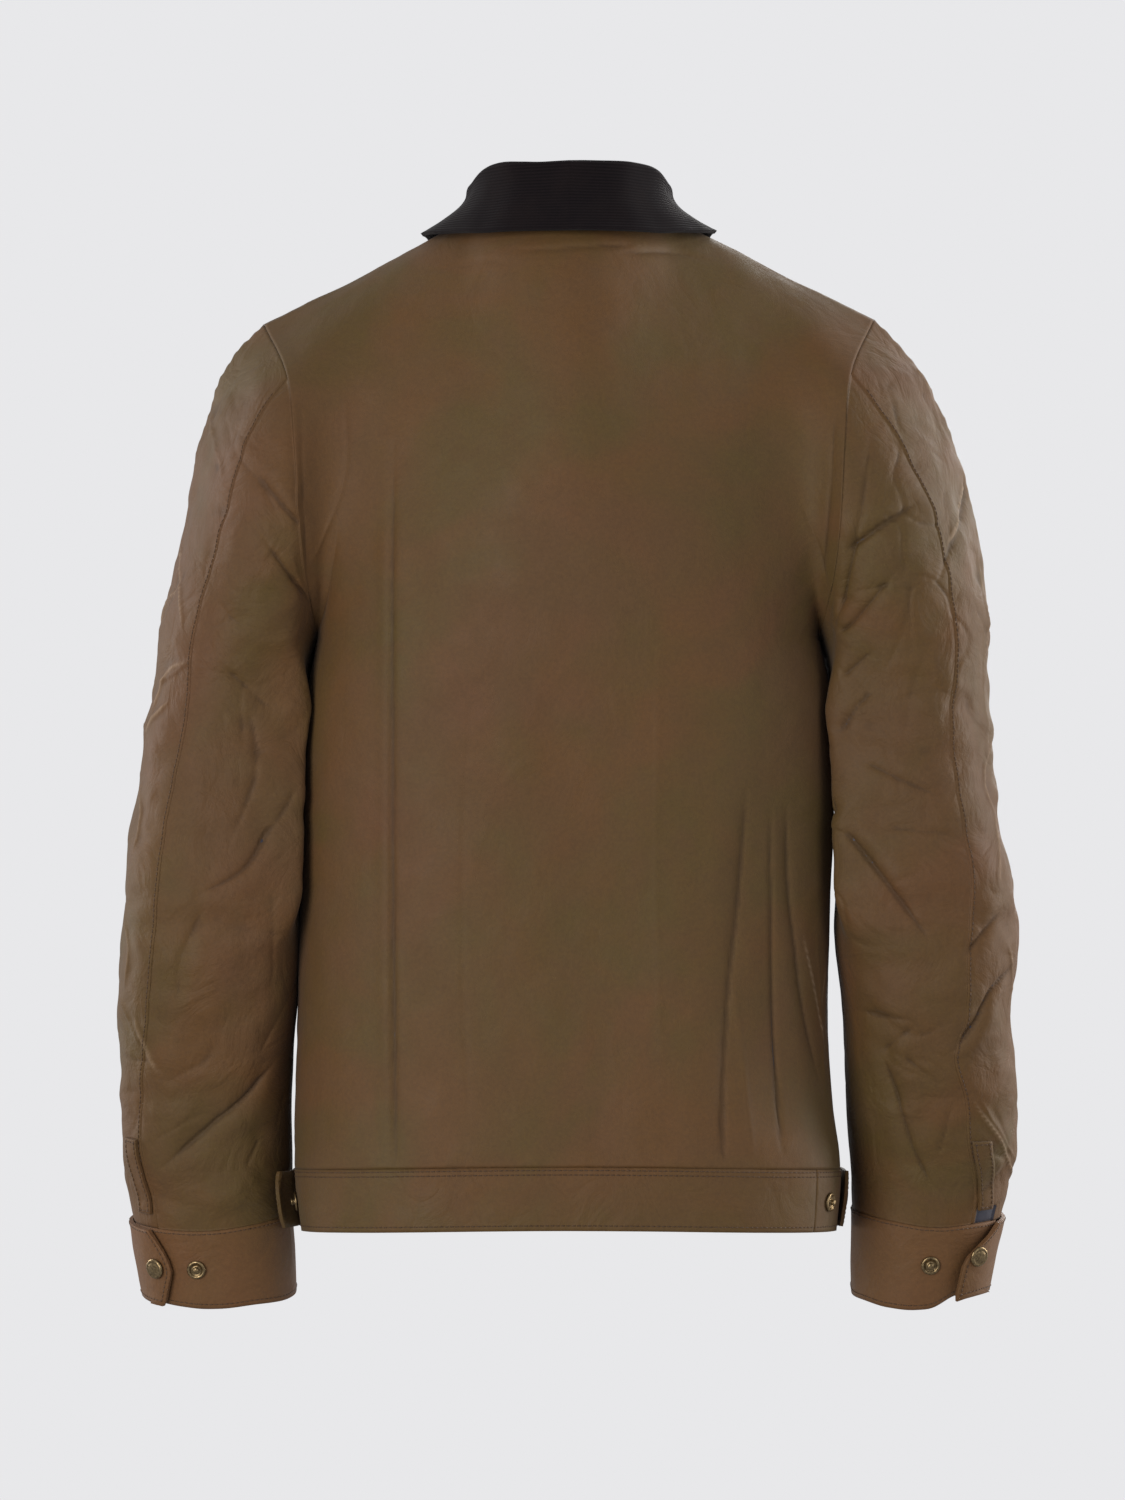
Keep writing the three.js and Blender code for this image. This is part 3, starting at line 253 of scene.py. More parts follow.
COLLAR_CLEAR = 5.5


def creases(*rows):
    """Rows of depth, width, lip, start and end, and then the points of the path.

    depth is how far the trough goes in, or out if it is less than 0. width is half its width, lip says on
    which side the cloth swells, and start and end are its strength at each end of the path.
    """
    keys = ("depth", "width", "lip", "start", "end")
    return [dict(zip(keys, row), path=row[len(keys) :]) for row in rows]


def rims(*rows):
    """Rows of width and shine, and then the points of the path."""
    return [dict(width=row[0], shine=row[1], path=row[2:]) for row in rows]


# Creases that the photo shows, as paths of (x, z) as the camera sees them, at the plane y = 0.
LEFT_SLEEVE_CREASES = creases(
    (7, 4.5, 1, 0.35, 1, (207.6, -206.9), (191.1, -229.5), (179.5, -246.6), (170.6, -268.5)),
    (4, 4, 1, 0.3, 1, (214.4, -158.9), (198, -179.5), (183.6, -195.9)),
    (2.5, 4, 1, 0.6, 0.6, (234.3, -294.6), (219.2, -308.2), (205.5, -320.6)),
    (4, 5, -1, 0.6, 0.5, (218.5, -322.6), (213.7, -356.2), (219.2, -380.9), (231.5, -411)),
    (5, 5, 1, 1, 0.3, (205.5, -402.8), (221.9, -430.2), (253.5, -448.7)),
    (5, 5, 1, 1, 0.4, (182.2, -496.6), (194.5, -524), (211, -556.9)),
    (7, 5.5, 1, 0.8, 0.5, (202.1, -564.4), (221.9, -588.4), (242.5, -604.9), (277.4, -634.3)),
    (3, 4.5, -1, 0.5, 0.5, (204.1, -450.7), (202.1, -513.1)),
    (3, 4, 1, 0.8, 0.5, (193.2, -577.5), (201.4, -610.3)),
    (2.5, 3.5, 1, 0.6, 0.4, (211, -615.8), (220.6, -634.3)),
    (2, 5, 1, 0.3, 0.6, (223.3, -124), (228.1, -143.9), (210.3, -168.5), (198, -191.8)),
    (3, 5, -1, 0.3, 0.8, (191.1, -95.9), (185.6, -137), (184.3, -178.1)),
    (-3, 3, 0, 0.7, 0.5, (306.9, -518.5), (293.9, -553.5)),
    (-2.5, 3, 0, 0.8, 0.4, (282.2, -303.5), (260.3, -289.1)),
    (-2.5, 3, 0, 0.8, 0.4, (288.4, -333.6), (276.7, -316.5)),
    (-2, 3.5, 0, 0.6, 0.6, (264.4, -208.9), (278.1, -260.3)),
    (2.5, 6, 1, 0.5, 0.4, (249.3, -455.5), (266.5, -493.2), (267.8, -527.5)),
    (3, 5, 1, 0.8, 0.4, (184.3, -356.2), (191.1, -383.6), (210.3, -412.4)),
    (2, 5, 1, 0.4, 0.6, (236, -213), (214, -222), (200, -214)),
    (2, 5.5, -1, 0.5, 0.4, (242, -246), (228, -262), (205, -268)),
    (2.6, 4.5, -1, 0.5, 0.5, (222, -300), (225, -322), (222, -352)),
)
RIGHT_SLEEVE_CREASES = creases(
    (6, 4.5, -1, 0.35, 1, (-237.7, -180.8), (-213.7, -195.9), (-191.8, -211.7)),
    (5, 4.5, -1, 0.4, 1, (-224.7, -226.7), (-196.6, -259.6), (-185.6, -268.5)),
    (3, 4, -1, 0.4, 1, (-207.6, -281.5), (-187.7, -298.7)),
    (4, 4.5, 1, 1, 0.4, (-178.8, -346.6), (-196.6, -320.6), (-207.6, -309.6)),
    (4, 4.5, 1, 0.6, 0.4, (-202.8, -357.6), (-224.7, -368.5), (-253.5, -381.5)),
    (7, 5, 1, 1, 0.4, (-177.4, -384.3), (-187, -400.7), (-214.4, -435.7), (-247.3, -480.2)),
    (3, 4, 1, 0.5, 0.5, (-217.8, -402.8), (-261.7, -406.9)),
    (2, 3.5, 1, 0.6, 0.6, (-225.4, -439.8), (-241.8, -432.2)),
    (4, 4, 1, 0.8, 0.5, (-272.6, -489.1), (-295.2, -459.6)),
    (6, 5, 1, 0.6, 0.9, (-302.1, -498), (-287.7, -515.1), (-278.8, -535), (-265.8, -553.5)),
    (4, 4.5, 1, 1, 0.4, (-187, -526.1), (-236.3, -535)),
    (3, 4, -1, 0.6, 0.6, (-214.4, -555.5), (-236.3, -538.4)),
    (3, 3.5, 1, 0.6, 0.6, (-230.8, -561), (-247.3, -573.3)),
    (5, 5, 1, 0.6, 0.5, (-215.1, -562.4), (-225.4, -589.8), (-236.3, -623.4), (-249.3, -650.8)),
    (3, 4, -1, 0.6, 0.5, (-261.7, -593.9), (-252.8, -626.8)),
    (-3, 4, 0, 0.6, 0.6, (-282.2, -589.8), (-304.1, -630.2)),
    (3.5, 5, 1, 0.7, 0.4, (-273, -160), (-270.6, -185), (-262.5, -210), (-252, -236)),
    (2.2, 5, 1, 0.5, 0.3, (-222, -318), (-246, -306), (-262, -312)),
    (2.2, 4.5, 1, 0.6, 0.3, (-205, -235), (-231, -240), (-252, -228)),
    (2, 5, -1, 0.5, 0.5, (-214, -300), (-229, -268), (-233, -243)),
    (-2.5, 3.5, 0, 0.5, 0.5, (-281.5, -226.7), (-285, -281.5), (-285, -368.5)),
    (5.5, 7.5, -1, 0.2, 1,
     (-207.6, -130.2), (-203.4, -164.4), (-198, -198.7), (-189.7, -232.9), (-184.3, -260.3)),
    (2, 6, 1, 0.4, 0.4, (-247.3, -274), (-235, -308.2), (-230.2, -339.1)),
)
BACK_CREASES = creases(
    (3.2, 3, -1, 0.6, 1, (120.6, -140), (121.2, -315.1), (120.6, -455.5), (119.2, -635.7)),
    (6, 8, -1, 0.5, 0.6, (-121.7, -378), (-116.5, -448.5), (-108.6, -518.4), (-105, -588), (-106, -634)),
    (4, 6, -1, 0.6, 0.6, (-149.7, -388), (-151.4, -439.8), (-155.8, -483.5), (-161, -527), (-171.5, -575)),
    (-2.4, 5, 0, 0.4, 0.7, (-112, -500), (-118.8, -560), (-126, -628)),
    (7, 30, 0, 0.5, 0.9, (-139, -390), (-140, -506.9), (-146, -625)),
    (-1.6, 3, 0, 0.6, 0.6, (-170.6, -472.7), (-176, -582.2)),
    (0.9, 5, 1, 0.5, 0.5, (47.3, -186.3), (6.2, -191.8), (-21.2, -182.2)),
    (0.8, 5, 1, 0.5, 0.5, (43.8, -211), (13, -216.5), (-14.4, -208.9)),
    (-3, 14, 0, 0.4, 0.6, (153.4, -109.6), (153.4, -164.4), (176, -219.2)),
    (3, 6, -1, 1, 0.2, (170.6, -268.5), (161.7, -222.6), (158.2, -191.8)),
    (3, 9, 1, 0.9, 0.2, (-184.3, -274), (-173.3, -219.2), (-158.2, -178.1)),
    (-2, 26, 0, 0.4, 0.5, (-62.3, -260.3), (-59.6, -424.7), (-63.7, -589.1)),
    (2, 24, 0, 0.4, 0.6, (67.8, -315.1), (73.3, -452.1), (69.2, -602.8)),
    (2.6, 4, -1, 0.3, 1, (184, -112), (183.5, -150), (182, -195), (179.5, -235), (173, -264)),
    (3, 5, 1, 0.3, 0.9, (-182, -112), (-181, -150), (-178, -190), (-174, -225)),
    (1.6, 2.6, 1, 0.5, 1, (38, -7.5), (-12, -4.5), (-44, -3)),
    (1.5, 3, 1, 1, 0.4, (-34, -8.5), (-70, -8), (-96, -13)),
    (1.1, 3, 1, 0.5, 0.6, (98, -22), (66, -15), (44, -14)),
    (0.8, 3, 1, 0.6, 0.4, (-28, -58), (-12, -60)),
)

# Thin pale lines: partly wax worn pale, partly a painted highlight where light catches the ridges.
LEFT_SLEEVE_RIMS = rims(
    (1.2, 0.7, (265.2, -203.8), (266.9, -230.1), (265.2, -266.2)),
    (1.1, 0.6, (266.5, -236), (275.1, -249.8), (279.4, -270.2)),
    (1.2, 0.7, (261.9, -289.2), (275.1, -294.1), (281.7, -308.9), (284.3, -320.7)),
    (1.2, 0.6, (274.1, -315.4), (284, -328.6), (288.2, -338.4)),
    (1.1, 0.4, (294.3, -364.7), (293.2, -394.3), (297.2, -420.3)),
    (1.1, 0.55, (298.5, -530), (290.5, -553.5), (282, -571)),
    (1, 0.35, (304, -462), (300.5, -488), (303.5, -512)),
    (1, 0.25, (245.8, -119), (240.8, -142.4), (235.8, -162.2)),
)
RIGHT_SLEEVE_RIMS = rims(
    (1.1, 0.4, (-233, -84), (-246.5, -102), (-256.4, -131.5)),
    (1.3, 0.85, (-269.9, -164.4), (-269.6, -176.2), (-264.6, -197.2), (-259.7, -208.1)),
    (1.1, 0.5, (-279, -212.1), (-284, -250.2), (-284.7, -299)),
    (1.1, 0.5, (-287.7, -331.9), (-285.4, -364.7), (-291.6, -394.3)),
    (1.2, 0.6, (-290.9, -390.6), (-294.2, -416.8), (-292.6, -443.1)),
    (1.1, 0.5, (-300.8, -482.5), (-302.4, -502.2), (-299.2, -528.5)),
    (1.3, 0.6, (-275.5, -587.6), (-291.9, -613.9), (-302.4, -636.9), (-303.1, -650.6)),
)
# The low ridge of cloth under each pale line of a sleeve.
RIDGE_UNDER_PALE_LINE = dict(depth=-1.8, width=2.4, lip=1, start=0.9, end=0.7)
BACK_RIMS = rims(
    (1.2, 0.75, (-161, -474.8), (-169.7, -518.4), (-176.7, -558.6)),
    (1, 0.5, (-176.7, -495.7), (-173.3, -527)),
)

# Creases on the sides that the photo hides, as (x, z) seen straight from the front.
FRONT_CREASES = creases(
    (4, 9, 1, 0.8, 0.3, (150, -175), (135, -290), (118, -400)),
    (4, 9, -1, 0.8, 0.3, (-148, -170), (-132, -300), (-112, -430)),
    (4, 5, 1, 1, 0.2, (168, -262), (150, -300), (122, -330)),
    (4, 5, -1, 1, 0.2, (-168, -260), (-146, -305), (-120, -322)),
    (3.5, 12, 1, 0.4, 0.8, (128, -420), (136, -520), (130, -625)),
    (3.5, 12, -1, 0.4, 0.8, (-126, -400), (-138, -500), (-134, -625)),
    (2, 14, 0, 0.3, 0.7, (70, -360), (76, -480), (72, -622)),
    (2.2, 14, 0, 0.3, 0.7, (-66, -330), (-74, -470), (-78, -622)),
    (1.6, 6, 1, 0.4, 0.5, (90, -130), (102, -160), (128, -180)),
    (1.6, 6, -1, 0.4, 0.5, (-84, -128), (-104, -158), (-132, -172)),
)
LEFT_SLEEVE_FRONT = creases(
    (4, 5, 1, 0.3, 1, (215, -180), (200, -215), (186, -245)),
    (3.6, 4.5, 1, 0.4, 1, (241, -362), (221, -381), (193, -388)),
    (4, 5.5, -1, 0.3, 0.8, (273, -437), (244, -412), (221, -409)),
    (4.2, 5, 1, 0.3, 0.9, (262, -455), (232, -477), (197, -481)),
    (2.6, 4, -1, 0.5, 0.9, (226, -433), (206, -447), (194, -444)),
    (3, 5, 1, 0.6, 0.4, (288, -528), (271, -553), (247, -561)),
    (3, 4.5, -1, 0.4, 0.7, (241, -583), (228, -601), (207, -607)),
    (2.4, 5, 1, 0.7, 0.3, (271, -633), (262, -607), (259, -584)),
)
RIGHT_SLEEVE_FRONT = creases(
    (4, 5, -1, 0.3, 1, (-220, -175), (-204, -210), (-188, -240)),
    (3.8, 5, -1, 0.3, 1, (-236, -330), (-224, -366), (-195, -383)),
    (3.6, 5, 1, 0.6, 0.4, (-278, -405), (-256, -425), (-229, -428)),
    (4, 5, -1, 0.3, 1, (-253, -463), (-226, -452), (-196, -461)),
    (3, 4.5, 1, 0.7, 0.3, (-287, -489), (-264, -497), (-246, -519)),
    (2.8, 4.5, 1, 0.4, 0.8, (-238, -546), (-221, -557), (-204, -553)),
    (3, 5, -1, 0.6, 0.6, (-291, -592), (-279, -617), (-276, -640)),
    (2.6, 4.5, -1, 0.4, 0.7, (-243, -596), (-226, -618), (-217, -641)),
)
# Creases on the sleeves' outer sides, as (y, z).
LEFT_SLEEVE_SIDE = creases(
    (4, 5, 1, 0.8, 0.4, (-64, -346), (-38, -368), (-4, -377)),
    (3.4, 4.5, -1, 0.9, 0.3, (-74, -402), (-50, -419), (-22, -412)),
    (4, 5, 1, 0.8, 0.4, (-70, -452), (-33, -471), (6, -455)),
    (3.4, 5, -1, 0.6, 0.5, (12, -515), (-18, -547), (-52, -561)),
    (3, 4.5, 1, 0.5, 0.5, (-6, -588), (-31, -613), (-66, -619)),
    (3, 6, 1, 0.5, 0.4, (44, -226), (10, -262), (-34, -279)),
    (2.6, 6, -1, 0.4, 0.5, (-49, -189), (-21, -231), (-13, -266)),
    (2.6, 5, 1, 0.5, 0.4, (38, -318), (26, -349), (31, -384)),
)
RIGHT_SLEEVE_SIDE = creases(
    (4, 5, 1, 0.8, 0.4, (-60, -331), (-29, -352), (7, -351)),
    (3.6, 5, -1, 0.8, 0.4, (-74, -384), (-41, -399), (-19, -421)),
    (3.6, 4.5, 1, 0.9, 0.3, (-67, -441), (-44, -453), (-12, -447)),
    (3.4, 5, -1, 0.5, 0.7, (9, -489), (-27, -512), (-61, -509)),
    (3, 5, 1, 0.5, 0.5, (2, -559), (-24, -590), (-33, -628)),
    (3, 6, 1, 0.5, 0.4, (49, -249), (21, -276), (-20, -284)),
    (2.6, 6, -1, 0.4, 0.5, (-39, -171), (-19, -207), (-21, -243)),
)


def along(t, key, column, at):
    """A smooth value of one column of a table where another column has the values at."""
    k, v = t[key], t[column]
    if k[0] > k[-1]:
        k, v = k[::-1], v[::-1]
    at = np.clip(np.asarray(at, float), k[0], k[-1])
    i = np.clip(np.searchsorted(k, at, side="right") - 1, 0, len(k) - 2)
    before, after = np.maximum(i - 1, 0), np.minimum(i + 2, len(k) - 1)
    width = k[i + 1] - k[i]
    slope_a = (v[i + 1] - v[before]) / (k[i + 1] - k[before]) * width
    slope_b = (v[after] - v[i]) / (k[after] - k[i]) * width
    return hermite((at - k[i]) / width, v[i], v[i + 1], slope_a, slope_b)


def hermite(s, a, b, slope_a, slope_b):
    s2, s3 = s * s, s * s * s
    ends = (2 * s3 - 3 * s2 + 1) * a + (s3 - 2 * s2 + s) * slope_a
    return ends + (3 * s2 - 2 * s3) * b + (s3 - s2) * slope_b


def smooth(x, low, high):
    x = np.clip((np.asarray(x, float) - low) / (high - low), 0, 1)
    return x * x * (3 - 2 * x)


def hump(x, width):
    """1 where x is 0, falling off as a bell curve of this width."""
    return np.exp(-((x / width) ** 2))


def unit(v):
    return v / np.maximum(np.linalg.norm(v, axis=-1, keepdims=True), 1e-9)


def stack(*parts):
    return np.stack(np.broadcast_arrays(*parts), axis=-1)


def points_along(t, key, at):
    return stack(*(along(t, key, c, at) for c in "xyz"))


TURN = np.linspace(0, np.pi / 2, 200)


def quarter(z, back, side, share):
    """Points of a quarter of the body's section, x positive, for one height and many shares of its length."""
    half = float(along(BODY, "z", side, z))
    depth = float(along(BODY, "z", "back" if back else "front", z))
    power = 2 / float(along(BODY, "z", "square", z))
    x = half * np.sin(TURN) ** power
    y = depth * np.maximum(np.cos(TURN), 0) ** power
    length = np.concatenate([[0], np.cumsum(np.hypot(np.diff(x), np.diff(y)))])
    at = np.asarray(share) * length[-1]
    px, py = np.interp(at, length, x), np.interp(at, length, y)
    return stack(px, py if back else -py, z)


def hem_rise(back, share):
    return BACK_HEM_RISE * (1 - share**2) if back else 0 * share


def top_edge(back, share):
    share = np.asarray(share, float)
    turn = np.pi / 2 * np.clip(share / NECK_SHARE, 0, 1)
    cy, cz = NECK_BACK if back else NECK_FRONT
    cos = np.maximum(np.cos(turn), 0)
    neck = stack(
        NECK_POINT[0] * np.sin(turn),
        NECK_POINT[1] + (cy - NECK_POINT[1]) * cos,
        NECK_POINT[2] + (cz - NECK_POINT[2]) * cos ** (1 if back else 1.3),
    )
    tip = SHOULDER["x"][-1]
    x = NECK_POINT[0] + (tip - NECK_POINT[0]) * np.clip((share - NECK_SHARE) / (1 - NECK_SHARE), 0, 1)
    seam = stack(x, NECK_POINT[1], along(SHOULDER, "x", "z", x))
    return np.where((share <= NECK_SHARE)[..., None], neck, seam)


def shoulder_column(back, side, share, t):
    """Points above the underarm, shaped (shares, ts, 3)."""
    low = quarter(UNDERARM_Z, back, side, share)[:, None]
    high = top_edge(back, share)[:, None]
    rise = low - quarter(UNDERARM_Z - 1, back, side, share)[:, None]
    reach = np.linalg.norm(high - low, axis=-1, keepdims=True)
    over = smooth(share, NECK_SHARE * 0.3, NECK_SHARE * 1.15)[:, None, None]
    forwards = -1 if back else 1
    at_neck = np.array([0, forwards * (0.6 if back else 0.3), 0.8 if back else 0.95]) * reach * 0.9
    depth = np.abs(low[..., 1:2] - high[..., 1:2])
    at_shoulder = np.array([0, forwards, 0.1]) * depth * QUARTER_CIRCLE
    end = at_neck * (1 - over) + at_shoulder * over
    start = rise * (reach * (1 - over) + (high[..., 2:3] - low[..., 2:3]) * QUARTER_CIRCLE * over)
    return hermite(np.asarray(t)[None, :, None], low, high, start, end)


def body_grid(back, c, v):
    """The body's smooth form for places across c, from -1 to 1, and up v, from 0 to 2."""
    c, v = np.asarray(c, float), np.asarray(v, float)
    out = np.zeros((len(c), len(v), 3))
    for side, sign in (("right", -1), ("left", 1)):
        pick = c < 0 if sign < 0 else c >= 0
        if not pick.any():
            continue
        share = np.abs(c[pick])
        low = v <= 1
        part = np.zeros((len(share), len(v), 3))
        for j in np.flatnonzero(low):
            z = BAND_TOP_Z + (UNDERARM_Z - BAND_TOP_Z) * v[j]
            part[:, j] = quarter(z, back, side, share)
            part[:, j, 2] += hem_rise(back, share) * (1 - v[j]) ** 2
        if (~low).any():
            t = v[~low] - 1
            column = shoulder_column(back, side, share, t)
            hole = points_along(ARMHOLE_BACK if back else ARMHOLE_FRONT, "t", t)[None]
            edge = shoulder_column(back, side, np.array([1.0]), t)
            pull = (np.maximum(share - PULL_FROM, 0) / (1 - PULL_FROM))[:, None, None] ** 2
            part[:, ~low] = column + (hole - edge) * pull
        part[..., 0] *= sign
        out[pick] = part
    return out


def band_grid(u, k):
    """The band's form: u is 0 at the centre back, 1 at the left side seam and 2 at the centre front."""
    u, k = np.asarray(u, float), np.asarray(k, float)
    out = np.zeros((len(u), len(k), 3))
    wrapped = np.mod(u + 2, 4) - 2
    for back in (True, False):
        for side, sign in (("right", -1), ("left", 1)):
            pick = ((np.abs(wrapped) <= 1) == back) & ((wrapped >= 0) == (sign > 0))
            if not pick.any():
                continue
            share = np.abs(wrapped[pick]) if back else 2 - np.abs(wrapped[pick])
            for j, h in enumerate(k):
                p = quarter(BAND_TOP_Z + (HEM_Z - BAND_TOP_Z) * h, back, side, share)
                p[:, 2] += hem_rise(back, share)
                p[:, 0] *= sign
                out[np.flatnonzero(pick), j] = p
    return out


def arm_ring(side, a, z):
    inner, outer = along(RINGS, "z", "in_" + side, z), along(RINGS, "z", "out_" + side, z)
    deep = along(RINGS, "z", "deep", z)
    power = 2 / SLEEVE_SQUARE
    cos, sin = np.cos(np.radians(a)), np.sin(np.radians(a))
    x = (inner + outer) / 2 - (outer - inner) / 2 * np.sign(cos) * np.abs(cos) ** power
    back = deep * np.sign(sin) * np.abs(sin) ** power
    drop = along(RINGS, "z", "drop", z) * back
    top, bottom = NESTLE["top_z"], NESTLE["bottom_z"]
    nestled = smooth(z, bottom, bottom + 60) * (1 - smooth(z, top - 50, top))
    nestle = NESTLE["depth"] * nestled * hump(a - NESTLE["angle"], NESTLE["spread"])
    turned = np.mod(a, 360)
    at_seam = along(CUFF_HANG, "a", "seam_" + side, turned)
    at_edge = along(CUFF_HANG, "a", "edge_" + side, turned)
    down = np.clip((CUFF_TOP_Z - z) / CUFF_HEIGHT, 0, 1)
    lift = smooth(-z, -CUFF_HANG_FROM, -CUFF_TOP_Z) * (at_seam + (at_edge - at_seam) * down)
    return stack(x - nestle, along(RINGS, "z", "y", z) + back, z - drop + lift)


def sleeve_grid(side, a, v):
    """The smooth form of a sleeve, on the left side, for angles a shaped (across, up) and its rows v."""
    a = np.asarray(a, float)
    turned = np.mod(a, 360)
    out = np.zeros(a.shape + (3,))
    tube = v >= 1
    z = CAP_END_Z + (CUFF_TOP_Z - CAP_END_Z) * (v - 1)
    out[:, tube] = arm_ring(side, turned[:, tube], np.broadcast_to(z[tube], turned[:, tube].shape))
    cap = ~tube
    if cap.any():
        t = turned[:, cap]
        back = t <= 180
        half = np.where(back, t, 360 - t)
        start = np.where(
            back[..., None],
            points_along(ARMHOLE_BACK, "t", half / 180),
            points_along(ARMHOLE_FRONT, "t", half / 180),
        )
        end = arm_ring(side, t, CAP_END_Z + 0 * t)
        leaving = points_along(LEAVING, "a", half)
        leaving[..., 1] *= np.where(back, 1, -1)
        arriving = (end - arm_ring(side, t, CAP_END_Z - 1 + 0 * t)) * (end[..., 2:3] - start[..., 2:3])
        out[:, cap] = hermite(v[cap][None, :, None], start, end, leaving, arriving)
    return out


def normals(grid):
    return unit(np.cross(np.gradient(grid, axis=0), np.gradient(grid, axis=1)))


def middle_normal(near):
    """The normal at the middle of three rows of three points."""
    return unit(np.cross(near[2, 1] - near[0, 1], near[1, 2] - near[1, 0]))


def mirror_of(part):
    """What a point of the left side's form is multiplied by for the side that a part is on."""
    return np.array([part["mirror"], 1, 1])


def hang(p):
    """Where points of the even form go as the jacket hangs."""
    x, y, z = p[..., 0], p[..., 1], p[..., 2]
    out = np.where(x < 0, along(UNEVEN, "z", "right", z), along(UNEVEN, "z", "left", z))
    out = out * smooth(np.abs(x), UNEVEN_FROM, UNEVEN_TO) * np.sign(x)
    r = RIGHT_SHOULDER_RISE
    lifted = r["rise"] * smooth(-x, r["from_x"], r["to_x"]) * smooth(z, r["from_z"], r["to_z"])
    return stack(x + out, y, z + lifted)


def as_seen(points, view="back"):
    """(x, z) of points as the photo's camera sees them at the plane y = 0, or straight from the front.

    From the side it is (y, z).
    """
    points = hang(points)
    if view != "back":
        return points[..., [0, 2]] if view == "front" else points[..., 1:]
    centre = np.array([FRAME_CENTRE[0], CAMERA_Z])
    scale = CAMERA_BACK / (CAMERA_BACK - points[..., 1:2])
    return centre + (points[..., [0, 2]] - centre) * scale


def bend(path, count):
    """A smooth line through the points of a path."""
    p = np.array(path, float)
    at = np.linspace(0, len(p) - 1, count)
    t = dict(k=np.arange(len(p), dtype=float), x=p[:, 0], y=p[:, 1])
    if len(p) == 2:
        return p[0] + (p[1] - p[0]) * at[:, None]
    return stack(along(t, "k", "x", at), along(t, "k", "y", at))


def evened(line):
    """A line with the jitter taken out, and its ends kept."""
    weights = np.array([1, 2, 3, 2, 1]) / 9
    padded = np.concatenate([2 * line[:1] - line[2:0:-1], line, 2 * line[-1:] - line[-2:-4:-1]])
    return sum(w * padded[k : k + len(line)] for k, w in enumerate(weights))


# A traced path's number of points, how many points of the form each is averaged from, and how fast their
# weight falls with the square of their distance, in square millimetres.
PATH_POINTS = 28
NEAREST = 6
WEIGHT_FALL = 12


def traced(paths, grid, way_out, view):
    """Each crease's path as points of the smooth form in space, with the way out of the cloth there."""
    if view == "side":
        facing = way_out[..., 0] * np.sign(grid[..., 0]) > 0.05
    else:
        facing = way_out[..., 1] * (1 if view == "back" else -1) > 0.02
    points, outs = grid[facing], way_out[facing]
    seen = as_seen(points, view)
    found = []
    for crease in paths:
        path = bend(crease["path"], PATH_POINTS)
        off = ((seen[None] - path[:, None]) ** 2).sum(-1)
        near = np.argpartition(off, NEAREST, axis=1)[:, :NEAREST]
        weight = np.exp(-np.take_along_axis(off, near, 1) / WEIGHT_FALL) + 1e-9
        weight = (weight / weight.sum(1, keepdims=True))[..., None]
        line, out = evened((points[near] * weight).sum(1)), evened((outs[near] * weight).sum(1))
        found.append(dict(crease, line=line, out=unit(out)))
    return found


# A crease's wide trough as a share of its width, its sharp core in millimetres, and a factor on every depth.
CREASE_WIDTH = 0.8
CREASE_CORE = 1.5
CREASE_DEPTH = 0.95


def crease_height(points, lines):
    """How far the creases move these points of the smooth form out, in millimetres."""
    shape = points.shape[:-1]
    flat = points.reshape(-1, 3)
    total = np.zeros(len(flat))
    for crease in lines:
        line = crease["line"]
        reach = crease["width"] * 5 + 6
        low, high = line.min(0) - reach, line.max(0) + reach
        inside = np.flatnonzero(((flat > low) & (flat < high)).all(1))
        if not len(inside):
            continue
        p = flat[inside]
        a, b = line[:-1], line[1:]
        ab = b - a
        k = np.clip(((p[:, None] - a) * ab).sum(-1) / np.maximum((ab**2).sum(-1), 1e-9), 0, 1)
        foot = a + k[..., None] * ab
        off = np.linalg.norm(p[:, None] - foot, axis=-1)
        i = off.argmin(1)
        rows = np.arange(len(p))
        place = (i + k[rows, i]) / (len(line) - 1)
        side = np.sign((np.cross(ab[i], p - foot[rows, i]) * crease["out"][i]).sum(-1))
        d = off[rows, i] * np.where(side == 0, 1, side)
        ends = (place <= 0) | (place >= 1)
        w, s = crease["width"], crease["lip"]
        strength = crease["start"] + (crease["end"] - crease["start"]) * place
        taper = strength * np.minimum(1, np.minimum(place, 1 - place) * 5 + 0.25)
        taper = taper * np.where(ends, hump(off[rows, i], w * 1.2), 1)
        trough = 0.5 * np.exp(-(np.abs(d) / (w * CREASE_WIDTH)) ** 1.3)
        trough = trough + 0.42 * np.exp(-(np.abs(d) / CREASE_CORE) ** 1.5)
        lips = 0.34 * hump(d - 1.9 * w * s, 1.7 * w) + 0.1 * hump(d + 2.2 * w * s, 1.8 * w)
        total[inside] += crease["depth"] * CREASE_DEPTH * taper * (-trough + (lips if s else 0.15 * lips))
    return total.reshape(shape)


RNG = np.random.default_rng(7)
LATTICE_SIZE = 64
LATTICE = RNG.random((LATTICE_SIZE, LATTICE_SIZE, LATTICE_SIZE))


def noise(points, size, seed=0, squash=1):
    """Smooth noise from -1 to 1, with features of this size in millimetres.

    Up the jacket the features are smaller by the factor squash.
    """
    q = points * np.array([1, 1, squash]) / size + seed * 17.31 + 1000
    i = np.floor(q).astype(int)
    f = q - i
    f = f * f * (3 - 2 * f)
    out = 0
    for corner in range(8):
        o = np.array([(corner >> n) & 1 for n in range(3)])
        value = LATTICE[tuple(((i + o) % LATTICE_SIZE)[..., n] for n in range(3))]
        out = out + value * np.prod(np.where(o, f, 1 - f), axis=-1)
    return out * 2 - 1


def bell(cells):
    """A bell curve's weights, over three times this many cells each way."""
    kernel = np.exp(-(np.arange(-3 * cells, 3 * cells + 1) / cells) ** 2 / 2)
    return kernel / kernel.sum()


